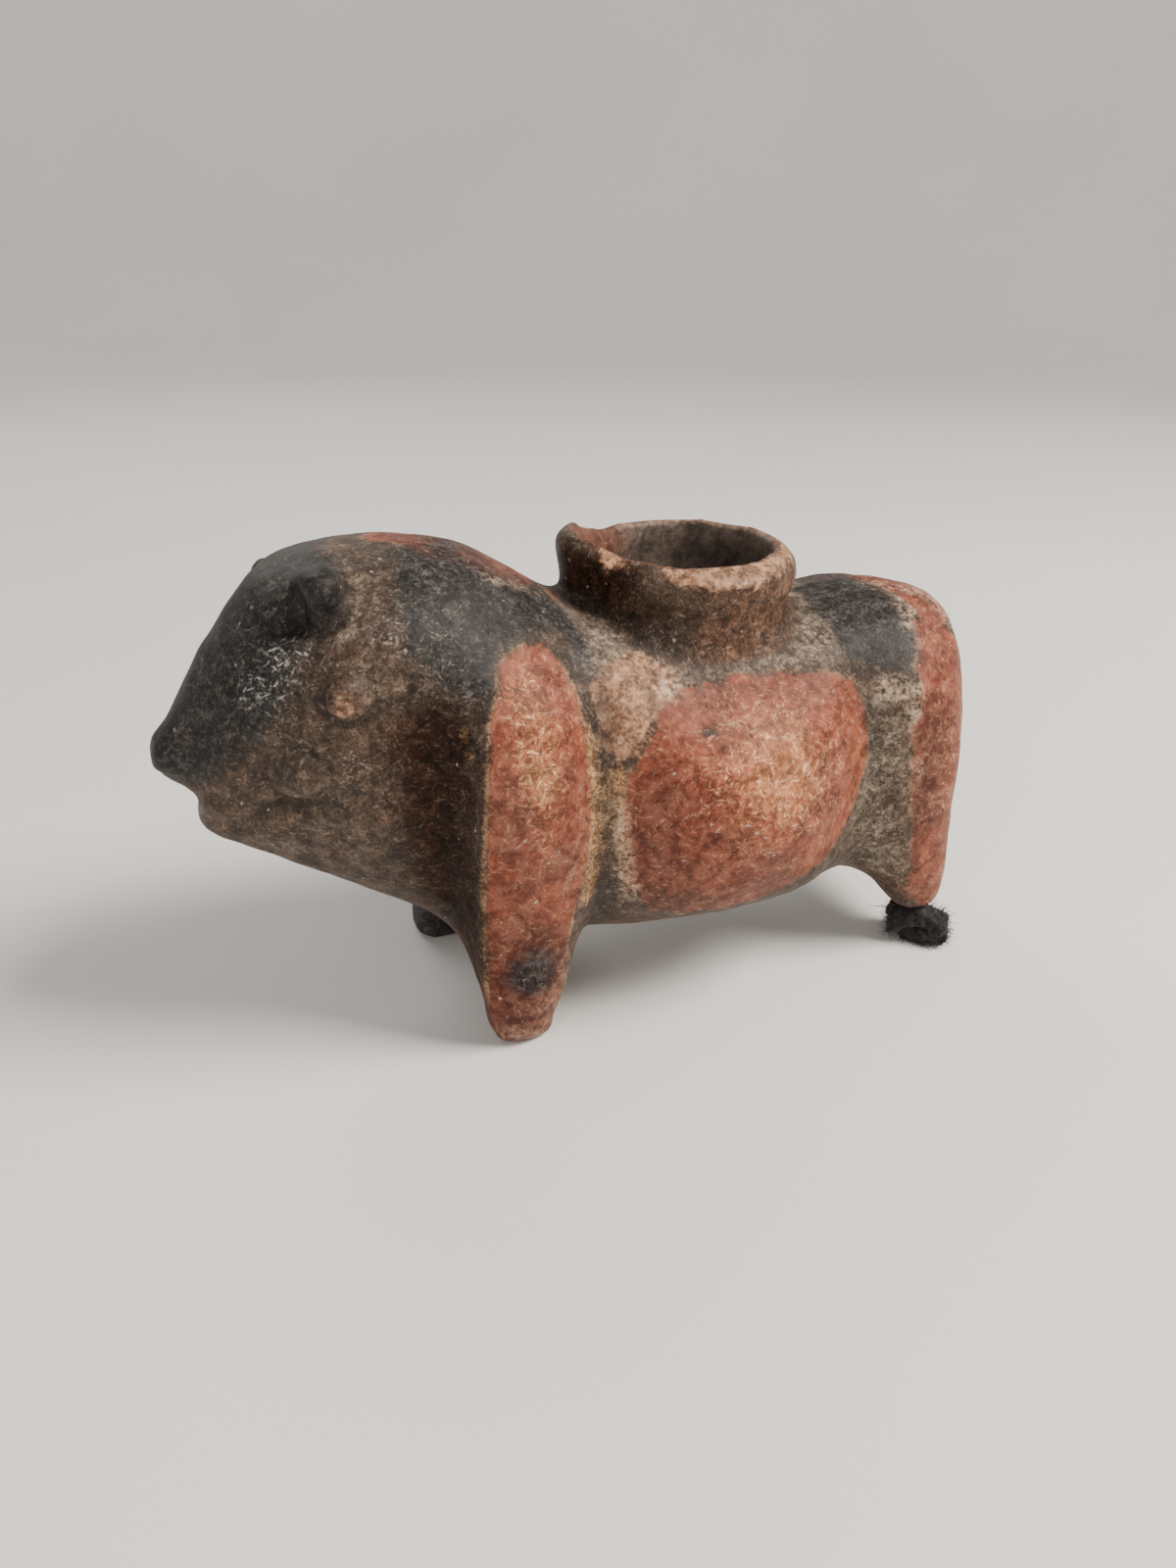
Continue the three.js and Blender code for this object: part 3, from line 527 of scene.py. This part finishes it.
def blend(factor, a, b, how="MIX"):
    return add("Mix", {0: factor, 6: a, 7: b}, data_type="RGBA", blend_type=how,
               clamp_factor=True, clamp_result=False).outputs[2]


def laid(under, mask, share, tone):
    """A colour with a tone laid over it by a share of the mask."""
    return blend(times(mask, share), under, tone)


def mottled(pattern, low, high, tones):
    """Two tones, the second where the pattern is high."""
    return blend(step_between(pattern, low, high), *tones)


def field(name):
    """A measure that the mesh carries."""
    return add("Attribute", attribute_name=name).outputs["Fac"]


def cloud(scale, detail=4.0, roughness=0.55, distortion=0.0):
    """Noise in lumps, from about 0.2 to 0.8."""
    return add("TexNoise", {"Vector": place, "Scale": scale, "Detail": detail, "Roughness": roughness,
                            "Distortion": distortion}).outputs["Fac"]


# Short, hair-thin marks in every direction: each cell of a scattered pattern holds one thin slice.
HALF = (0.5, 0.5, 0.5)
marks = bpy.data.node_groups.new("fibre_marks", "ShaderNodeTree")
for name, kind in (("Place", "Vector"), ("Per Metre", "Float"), ("Width", "Float"), ("Share", "Float")):
    marks.interface.new_socket(name, in_out="INPUT", socket_type="NodeSocket" + kind)
marks.interface.new_socket("Mask", in_out="OUTPUT", socket_type="NodeSocketFloat")
tree = marks
given = tree.nodes.new("NodeGroupInput")
bend = add("TexNoise", {"Vector": given.outputs["Place"], "Scale": 210.0, "Detail": 1.0})
bend = vector("SUBTRACT", {0: bend.outputs["Color"], 1: HALF})
bend = vector("SCALE", {0: bend, "Scale": 0.0014})
bent = vector("ADD", {0: given.outputs["Place"], 1: bend})
cell = add("TexVoronoi", {"Vector": bent, "Scale": given.outputs["Per Metre"]})
local = vector("SUBTRACT", {0: bent, 1: cell.outputs["Position"]})
aim = vector("NORMALIZE", {0: vector("SUBTRACT", {0: cell.outputs["Color"], 1: HALF})})
off = maths("ABSOLUTE", vector("DOT_PRODUCT", {0: local, 1: aim}, "Value"))
thin = add("MapRange", {"Value": off, "From Min": given.outputs["Width"], "From Max": 0.0}).outputs[0]
pick = add("SeparateColor", {"Color": cell.outputs["Color"]})
picked = maths("LESS_THAN", pick.outputs["Red"], given.outputs["Share"])
ends = add("MapRange", {"Value": cell.outputs["Distance"], "From Min": 0.62, "From Max": 0.25}).outputs[0]
taken = tree.nodes.new("NodeGroupOutput")
tree.links.new(times(times(thin, picked), ends), taken.inputs["Mask"])


def hairs(per_metre, width, share):
    """Hair-thin marks by their number to the metre, their width and the share of cells with one."""
    node = tree.nodes.new("ShaderNodeGroup")
    node.node_tree = marks
    tree.links.new(place, node.inputs["Place"])
    for name, value in (("Per Metre", per_metre), ("Width", width), ("Share", share)):
        node.inputs[name].default_value = value
    return node.outputs["Mask"]


def new_look(name):
    """A material, and its own tree with nothing in it."""
    look = bpy.data.materials.new(name)
    look.use_nodes = True
    look.node_tree.nodes.clear()
    return look, look.node_tree


def put_on(mesh, look, inputs):
    """Ends the current look in a surface with these inputs, and puts it on the mesh."""
    surface = add("BsdfPrincipled", inputs)
    output = add("OutputMaterial")
    tree.links.new(surface.outputs["BSDF"], output.inputs["Surface"])
    mesh.materials.clear()
    mesh.materials.append(look)


# The clay's colours, as linear red, green and blue; a pair is a dark and a light tone.
BARE = ((0.036, 0.024, 0.018, 1), (0.118, 0.082, 0.059, 1))
BARE_WARM = (0.082, 0.050, 0.034, 1)
BARE_PALE = (0.185, 0.138, 0.103, 1)
UMBER_AND_SHADE = ((0.0105, 0.0042, 0.0026, 1), (0.043, 0.0175, 0.0098, 1))
RUDDY = ((0.058, 0.028, 0.018, 1), (0.215, 0.108, 0.064, 1))
OLIVE = ((0.098, 0.075, 0.056, 1), (0.340, 0.275, 0.210, 1))
TAN = ((0.175, 0.078, 0.041, 1), (0.50, 0.280, 0.165, 1))
OCHRE = ((0.170, 0.082, 0.034, 1), (0.50, 0.280, 0.130, 1))
SLIP = ((0.128, 0.0255, 0.0145, 1), (0.255, 0.064, 0.035, 1))
SLIP_BRIGHT = (0.36, 0.105, 0.055, 1)
SLIP_BROWN = (0.170, 0.062, 0.042, 1)
SLIP_MAROON = (0.078, 0.0180, 0.0105, 1)
SLIP_OCHRE = (0.40, 0.115, 0.035, 1)
SLIP_WORN_AND_SHEEN = (0.58, 0.255, 0.115, 1)
SLIP_SMUDGE = (0.066, 0.030, 0.020, 1)
SLIP_DULL = (0.150, 0.072, 0.050, 1)
SLIP_EDGE = (0.43, 0.28, 0.165, 1)
SHIN_EDGE = (0.33, 0.185, 0.098, 1)
SOOT_AND_SHADE = ((0.0100, 0.0100, 0.0110, 1), (0.060, 0.057, 0.056, 1))
THROAT = ((0.046, 0.037, 0.033, 1), (0.130, 0.096, 0.078, 1))
THROAT_MOTTLE = (0.115, 0.080, 0.062, 1)
THROAT_RED = (0.190, 0.066, 0.040, 1)
CHALK = (0.60, 0.455, 0.34, 1)
DIRT_AND_SHADE = (0.024, 0.017, 0.013, 1)
RUBBED = (0.40, 0.255, 0.165, 1)
FLAW = (0.022, 0.017, 0.016, 1)
MARKS_ON_CLAY = (0.38, 0.300, 0.232, 1)
MARKS_ON_SLIP = (0.90, 0.60, 0.340, 1)
MARKS_PAINTED_HIGHLIGHT = (0.66, 0.64, 0.61, 1)
GRAIN_SHADES = ((0.36, 0.34, 0.32, 1), (1.0, 1.0, 1.0, 1))
BLOTCH_SHADES = ((0.56, 0.54, 0.53, 1), (1.45, 1.45, 1.45, 1))
SPECK = (0.56, 0.50, 0.43, 1)
PIT = (0.018, 0.012, 0.010, 1)

clay, tree = new_look("burnished_clay")
place = add("TexCoord").outputs["Object"]
broad = cloud(55, 4, 0.6)
middle = cloud(170, 5, 0.62)
small = cloud(760, 6, 0.72)
blotch = cloud(300, 5, 0.68, 0.4)
grain = cloud(1700, 4, 0.8)
flecks = cloud(820, 3, 0.75, 2.2)
shin = field("shin")
inside = field("inner")
# Millimetres by which a painted edge wanders.
wander = times(plus(waver(middle, 9.0), waver(small, 6.0)), without(shin, 0.75))

# Bare clay, with its darker, redder, greyer and paler areas; the darkest brown is partly painted shade, on
# the chest before each front leg.
colour = mottled(middle, 0.36, 0.66, BARE)
colour = blend(step_between(broad, 0.40, 0.62), colour, BARE_WARM)
colour = laid(colour, step_between(small, 0.48, 0.66), 0.6, BARE_PALE)
umber_and_shade_mask = step_between(plus(field("umber_and_shade"), waver(middle, 0.9)), 0.10, 1.0)
colour = laid(colour, umber_and_shade_mask, 0.93, mottled(small, 0.35, 0.65, UMBER_AND_SHADE))
ruddy_mask = step_between(plus(field("ruddy"), waver(middle, 0.9)), 0.2, 0.9)
colour = laid(colour, ruddy_mask, 0.9, mottled(small, 0.38, 0.64, RUDDY))
olive_mask = step_between(plus(field("olive"), waver(middle, 1.2)), 0.25, 0.95)
colour = laid(colour, olive_mask, 0.85, mottled(small, 0.40, 0.62, OLIVE))
tan_mask = step_between(plus(field("tan"), times(wander, 0.5)), -0.9, 0.7)
colour = laid(colour, tan_mask, 0.88, mottled(small, 0.38, 0.62, TAN))
ochre_mask = step_between(plus(field("ochre"), waver(small, 1.6)), 0.25, 0.95)
colour = laid(colour, ochre_mask, 0.85, mottled(grain, 0.42, 0.60, OCHRE))

# Red slip, rubbed thin in places, with a painted sheen on the rubbed places, and smudged with smoke in
# others.
slip_edge = plus(field("red"), times(wander, 0.55))
slip = step_between(slip_edge, -0.7, 0.9)
brick = mottled(middle, 0.34, 0.66, SLIP)
brick = laid(brick, step_between(small, 0.42, 0.62), 0.5, SLIP_BRIGHT)
brick = laid(brick, step_between(broad, 0.50, 0.64), 0.45, SLIP_BROWN)
brick = laid(brick, step_between(field("maroon"), 0.1, 1.0), 0.85, SLIP_MAROON)
brick = laid(brick, ochre_mask, 0.55, SLIP_OCHRE)
rub_and_sheen = step_between(plus(field("worn_and_sheen"), waver(small, 2.4)), 0.30, 1.25)
brick = laid(brick, rub_and_sheen, 0.62, SLIP_WORN_AND_SHEEN)
smudge = times(step_between(cloud(90, 6, 0.7, 0.6), 0.54, 0.68), step_between(small, 0.35, 0.60))
brick = laid(brick, smudge, 0.7, SLIP_SMUDGE)
dull = times(step_between(blotch, 0.42, 0.62), without(step_between(field("worn_and_sheen"), 0.1, 0.8)))
brick = laid(brick, dull, 0.42, SLIP_DULL)
colour = blend(slip, colour, brick)

# A pale, broken line of bare clay along the slip's edge, plainer along the shin.
edge_gap = maths("ABSOLUTE", plus(slip_edge, 0.2))
edge_line = times(step_between(edge_gap, 0.65, 0.05), step_between(middle, 0.46, 0.60))
colour = laid(colour, edge_line, 0.45, SLIP_EDGE)
shin_gap = maths("ABSOLUTE", plus(slip_edge, 0.45))
shin_line = times(step_between(shin_gap, 0.60, 0.10), step_between(shin, 0.35, 0.7))
colour = laid(colour, times(shin_line, step_between(small, 0.42, 0.58)), 0.7, SHIN_EDGE)

# Grey-black slip and soot with painted shade on the far front foot, the inside of the neck, and chalky
# deposits.
soot_and_shade = step_between(plus(field("black"), times(wander, 0.9)), -2.4, 2.2)
soot_and_shade = times(soot_and_shade, step_between(small, 0.18, 0.44))
colour = laid(colour, soot_and_shade, 0.94, mottled(small, 0.42, 0.62, SOOT_AND_SHADE))
bare = mottled(broad, 0.40, 0.60, THROAT)
bare = laid(bare, step_between(small, 0.45, 0.62), 0.35, THROAT_MOTTLE)
bare = laid(bare, ruddy_mask, 0.65, THROAT_RED)
colour = laid(colour, inside, 0.94, bare)
chalk_mask = times(step_between(field("chalk"), 0.12, 0.9), step_between(small, 0.42, 0.58))
colour = laid(colour, chalk_mask, 0.85, CHALK)

# Dirt and painted shade darken the hollows, and the proud places are rubbed pale.
colour = laid(colour, step_between(field("sunk"), 0.06, 0.34), 0.6, DIRT_AND_SHADE)
rubbed = times(step_between(field("sunk"), -0.16, -0.5), step_between(small, 0.40, 0.60))
colour = laid(colour, times(rubbed, without(soot_and_shade, 0.85)), 0.55, RUBBED)

# Three small dark flaws in the red of the near flank.
for centre, size in (((0.0124, -0.0341, 0.0704), 0.0016), ((0.0141, -0.0341, 0.0701), 0.0010),
                     ((0.0216, -0.0355, 0.0690), 0.0009)):
    apart = vector("DISTANCE", {0: place, 1: centre}, "Value")
    flaw = step_between(plus(apart, waver(small, 0.0016)), size, size * 0.5)
    colour = laid(colour, flaw, 0.88, FLAW)

# Hair-thin pale marks of rubbing and burnishing, closer and warmer on the worn red and its painted sheen;
# grey-white and closer where a painted highlight lies.
lines = times(hairs(250, 0.00030, 0.62), step_between(middle, 0.38, 0.62))
lines = maths("MAXIMUM", lines, maths("MAXIMUM", hairs(420, 0.00024, 0.62), hairs(680, 0.00020, 0.62)))
lines = maths("MAXIMUM", lines, times(step_between(flecks, 0.56, 0.68), 0.8))
lines = times(lines, step_between(grain, 0.36, 0.58))
light = blend(slip, MARKS_ON_CLAY, MARKS_ON_SLIP)
light = blend(step_between(field("painted_highlight"), 0.1, 0.7), light, MARKS_PAINTED_HIGHLIGHT)
on_worn_and_sheen_slip = times(step_between(field("worn_and_sheen"), 0.1, 1.0), slip)
line_share = plus(maths("SUBTRACT", 0.44, times(slip, 0.20)), times(on_worn_and_sheen_slip, 0.72))
line_share = plus(times(line_share, without(soot_and_shade, 0.40)), times(field("painted_highlight"), 0.7))
line_share = times(times(line_share, without(umber_and_shade_mask, 0.6)), without(inside, 0.8))
colour = laid(colour, lines, line_share, light)

# The grain shows most on bare clay; broad blotches shade the whole skin.
calm = maths("MAXIMUM", maths("MAXIMUM", slip, inside), times(maths("MAXIMUM", tan_mask, ochre_mask), 0.8))
grain_share = maths("SUBTRACT", 0.85, times(calm, 0.55))
colour = blend(grain_share, colour, mottled(grain, 0.38, 0.62, GRAIN_SHADES), "MULTIPLY")
colour = blend(1.0, colour, mottled(blotch, 0.34, 0.66, BLOTCH_SHADES), "MULTIPLY")

# Ragged pale specks and dark pits.
ragged = add("TexNoise", {"Vector": place, "Scale": 1500.0}).outputs["Color"]
ragged = vector("ADD", {0: place, 1: vector("SCALE", {0: ragged, "Scale": 0.0012})})


def scattered(per_metre, edge, centre, channel, above):
    """Small dots, in the cells whose own random number is above a limit."""
    cells = add("TexVoronoi", {"Vector": ragged, "Scale": per_metre})
    chosen = add("SeparateColor", {"Color": cells.outputs["Color"]}).outputs[channel]
    return times(step_between(cells.outputs["Distance"], edge, centre), maths("GREATER_THAN", chosen, above))


specks = scattered(420.0, 0.20, 0.07, "Red", 0.92)
colour = laid(colour, specks, 0.5, SPECK)
pits = scattered(520.0, 0.28, 0.10, "Green", 0.76)
colour = laid(colour, pits, 0.5, PIT)

rough_value = plus(0.42, times(step_between(small, 0.30, 0.70), 0.20))
rough_value = plus(rough_value, times(olive_mask, 0.14))
rough_value = maths("ADD", rough_value, times(chalk_mask, 0.2), clamp=True)
height = plus(times(small, 0.55), times(grain, 0.35))
height = plus(height, times(lines, 0.18))
height = maths("SUBTRACT", height, times(pits, 0.5))
bump = add("Bump", {"Height": height, "Strength": 0.55, "Distance": 0.00035})
put_on(clay_mesh, clay, {"Base Color": colour, "Roughness": rough_value, "Normal": bump.outputs["Normal"],
                         "Specular IOR Level": maths("SUBTRACT", 0.20, times(umber_and_shade_mask, 0.15))})
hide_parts("vessel")
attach(vessel, "root")


# The felt: a scrap of soft black wool felt folded double and pressed under the short hind foot.
# Its cut edges are ragged and loose fibres stand out all round.

FELT_MIDDLE = Vector((0.0802, -0.0230, 0))
FELT_TURN = math.radians(-38)
FELT_VOXEL = 0.00035
FELT_OVER_TABLE = 0.0002
FOLD_HEIGHT = 5.2
FIBRES = 1500
FIBRE_JOINTS = 6
FIBRE_THICKNESS = 0.00007
felt, felt_mesh = fine_copy("hind_foot_felt", "felt_scrap", FELT_VOXEL, False)
wool = bmesh.new()
wool.from_mesh(felt_mesh)
for step in range(6):
    bmesh.ops.smooth_vert(wool, verts=wool.verts, factor=0.5,
                          use_axis_x=True, use_axis_y=True, use_axis_z=True)
wool.normal_update()


def portion(value, zero_at, one_at):
    """0 at and before one value, 1 at and past the other, even between them."""
    return min(max((value - zero_at) / (one_at - zero_at), 0), 1)


# The upper layer droops at its open end, and the scrap lies flatter past the foot and behind it.
to_felt = Matrix.Rotation(-FELT_TURN, 3, "Z")
from_felt = to_felt.inverted()
for vertex in wool.verts:
    local = (to_felt @ (vertex.co - FELT_MIDDLE)) * 1000
    open_end = portion(local.x, 2.0, -6.0)
    under = portion(local.z, FOLD_HEIGHT, FOLD_HEIGHT - 1.2)
    local.z -= open_end * (under * 0.25 * local.z + (1 - under) * 3.0 * open_end)
    local.x += under * open_end * 3.4
    local.y *= 1 - 0.30 * under * open_end
    vertex.co = from_felt @ (local / 1000) + FELT_MIDDLE
    beyond = max(portion(vertex.co.x, 0.0805, 0.0855), portion(vertex.co.y, -0.0265, -0.0305))
    behind = portion(vertex.co.y, -0.0235, -0.0185) * portion(vertex.co.x, 0.0790, 0.0750)
    vertex.co.z *= (1 - 0.34 * beyond) * (1 - 0.32 * behind)
wool.normal_update()
for vertex in wool.verts:
    fuzz = noise.noise(vertex.co * 380) * 0.0010 + noise.noise(vertex.co * 1200) * 0.0005
    vertex.co += vertex.normal * fuzz
    vertex.co.z = max(vertex.co.z, FELT_OVER_TABLE)
wool.normal_update()
wool.verts.ensure_lookup_table()

# Loose fibres all round, and two longer threads at one corner; each is a root, a way, a length
# and a thickness.
draw = np.random.default_rng(41)
roots = [wool.verts[i] for i in draw.choice(len(wool.verts), FIBRES, replace=False)]
strands = [(v.co.copy(), v.normal.copy(), 0.0010 + 0.0026 * draw.random() ** 2, FIBRE_THICKNESS)
           for v in roots]
corner = FELT_MIDDLE + Matrix.Rotation(FELT_TURN, 3, "Z") @ Vector((-0.0070, -0.0040, 0))
strands.append((corner + Vector((0, 0, 0.0094)), Vector((-0.8, -0.5, 0.35)), 0.0055, 0.00016))
strands.append((corner + Vector((0, 0, 0.0088)), Vector((-1.0, -0.3, 0.1)), 0.0045, 0.00012))
for root, way, length, thickness in strands:
    swirl = Vector(draw.normal(0, 0.75, 3))
    here = root - way * 0.0002
    heading = (way + swirl * 0.35).normalized()
    course = []
    for joint in range(FIBRE_JOINTS):
        course.append(here.copy())
        heading = (heading + swirl * 0.28 + Vector((0, 0, -0.10))).normalized()
        here = here + heading * length / (FIBRE_JOINTS - 1)
        here.z = max(here.z, FELT_OVER_TABLE)
    rings = []
    for joint, centre in enumerate(course):
        ahead = course[min(joint + 1, FIBRE_JOINTS - 1)] - course[max(joint - 1, 0)]
        across = ahead.orthogonal().normalized()
        upright = ahead.cross(across).normalized()
        radius = thickness * (1 - 0.13 * joint)
        rings.append([wool.verts.new(centre + radius * (across * math.cos(a) + upright * math.sin(a)))
                      for a in (0, 2.094, 4.189)])
    for low, high in zip(rings, rings[1:]):
        for k in range(3):
            wool.faces.new((low[k], low[(k + 1) % 3], high[(k + 1) % 3], high[k]))
    wool.faces.new(reversed(rings[0]))
    wool.faces.new(rings[-1])
wool.to_mesh(felt_mesh)
wool.free()
felt_mesh.shade_smooth()

WOOL = ((0.010, 0.010, 0.010, 1), (0.040, 0.038, 0.036, 1))
WOOL_DUST = (0.085, 0.075, 0.062, 1)
black_felt, tree = new_look("black_felt")
place = add("TexCoord").outputs["Object"]
matted = cloud(2600, 3, 0.7)
wool_colour = mottled(cloud(700, 5, 0.7, 0.8), 0.35, 0.68, WOOL)
wool_colour = laid(wool_colour, step_between(matted, 0.56, 0.72), 0.5, WOOL_DUST)
wool_bump = add("Bump", {"Height": matted, "Strength": 0.8, "Distance": 0.0004})
put_on(felt_mesh, black_felt, {"Base Color": wool_colour, "Roughness": 0.95,
                               "Normal": wool_bump.outputs["Normal"], "Specular IOR Level": 0.2,
                               "Sheen Weight": 0.15, "Sheen Roughness": 0.5})
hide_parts("hind_foot_felt")
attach(felt, "root")


# The setting: a plain pale floor of one piece that curves up into a low wall all round,
# under a key light from the right, two weaker lights and a dim, even sky.

FLAT_RADIUS = 1.3
CURVE_RADIUS = 0.5
WALL_TOP = 0.9
PAPER = ((0.79, 0.78, 0.76, 1), (0.82, 0.81, 0.79, 1))
profile = [(0.0, 0.0), (0.5, 0.0), (1.0, 0.0), (FLAT_RADIUS, 0.0)]
profile += [(FLAT_RADIUS + CURVE_RADIUS * math.sin(a), CURVE_RADIUS - CURVE_RADIUS * math.cos(a))
            for a in (0.26, 0.52, 0.79, 1.05, 1.31, 1.57)]
profile += [(FLAT_RADIUS + CURVE_RADIUS, WALL_TOP)]
sweep = bmesh.new()
stations = [sweep.verts.new((r, 0, h)) for r, h in profile]
ribs = [sweep.edges.new(pair) for pair in zip(stations, stations[1:])]
bmesh.ops.spin(sweep, geom=stations + ribs, cent=(0, 0, 0), axis=(0, 0, 1), angle=math.tau, steps=64,
               use_merge=True)
bmesh.ops.remove_doubles(sweep, verts=sweep.verts, dist=1e-5)
bmesh.ops.recalc_face_normals(sweep, faces=sweep.faces)
if sum(f.normal.z for f in sweep.faces) < 0:
    bmesh.ops.reverse_faces(sweep, faces=sweep.faces)
floor_mesh = bpy.data.meshes.new("floor")
sweep.to_mesh(floor_mesh)
sweep.free()
floor_mesh.shade_smooth()
floor = bpy.data.objects.new("floor", floor_mesh)
scene.collection.objects.link(floor)
paper, tree = new_look("pale_floor")
place = add("TexCoord").outputs["Object"]
put_on(floor_mesh, paper, {"Base Color": mottled(cloud(3, 2, 0.5), 0.3, 0.7, PAPER), "Roughness": 0.7})

world = bpy.data.worlds.new("studio")
scene.world = world
world.use_nodes = True
sky = world.node_tree.nodes["Background"]
sky.inputs["Color"].default_value = (0.93, 0.96, 1.0, 1)
sky.inputs["Strength"].default_value = 0.22


def lamp(name, stand, aim, size, power, tint):
    """A square light by its place, what it points at, its size in metres and its power in watts."""
    data = bpy.data.lights.new(name, "AREA")
    data.size = size
    data.energy = power
    data.color = tint
    light = bpy.data.objects.new(name, data)
    light.location = stand
    light.rotation_euler = (Vector(aim) - Vector(stand)).to_track_quat("-Z", "Y").to_euler()
    scene.collection.objects.link(light)


lamp("key", (0.66, -0.46, 0.95), (0, 0, 0.05), 0.5, 26.5, (1.0, 0.93, 0.84))
lamp("fill", (-0.75, -0.75, 0.75), (0, 0, 0.05), 0.7, 4, (1.0, 0.97, 0.93))
lamp("back", (-0.2, 0.95, 0.9), (0, 0, 0.06), 0.6, 5, (1.0, 0.97, 0.93))

# The camera stands where the photograph was taken from: close, and looking down at the near side.
camera_data = bpy.data.cameras.new("camera")
camera_data.lens = 27.045
camera_data.sensor_width = 36
camera = bpy.data.objects.new("camera", camera_data)
camera.location = (-0.0910, -0.2261, 0.162)
camera.rotation_euler = (math.radians(64.6), 0, math.radians(-22))
scene.collection.objects.link(camera)
scene.camera = camera
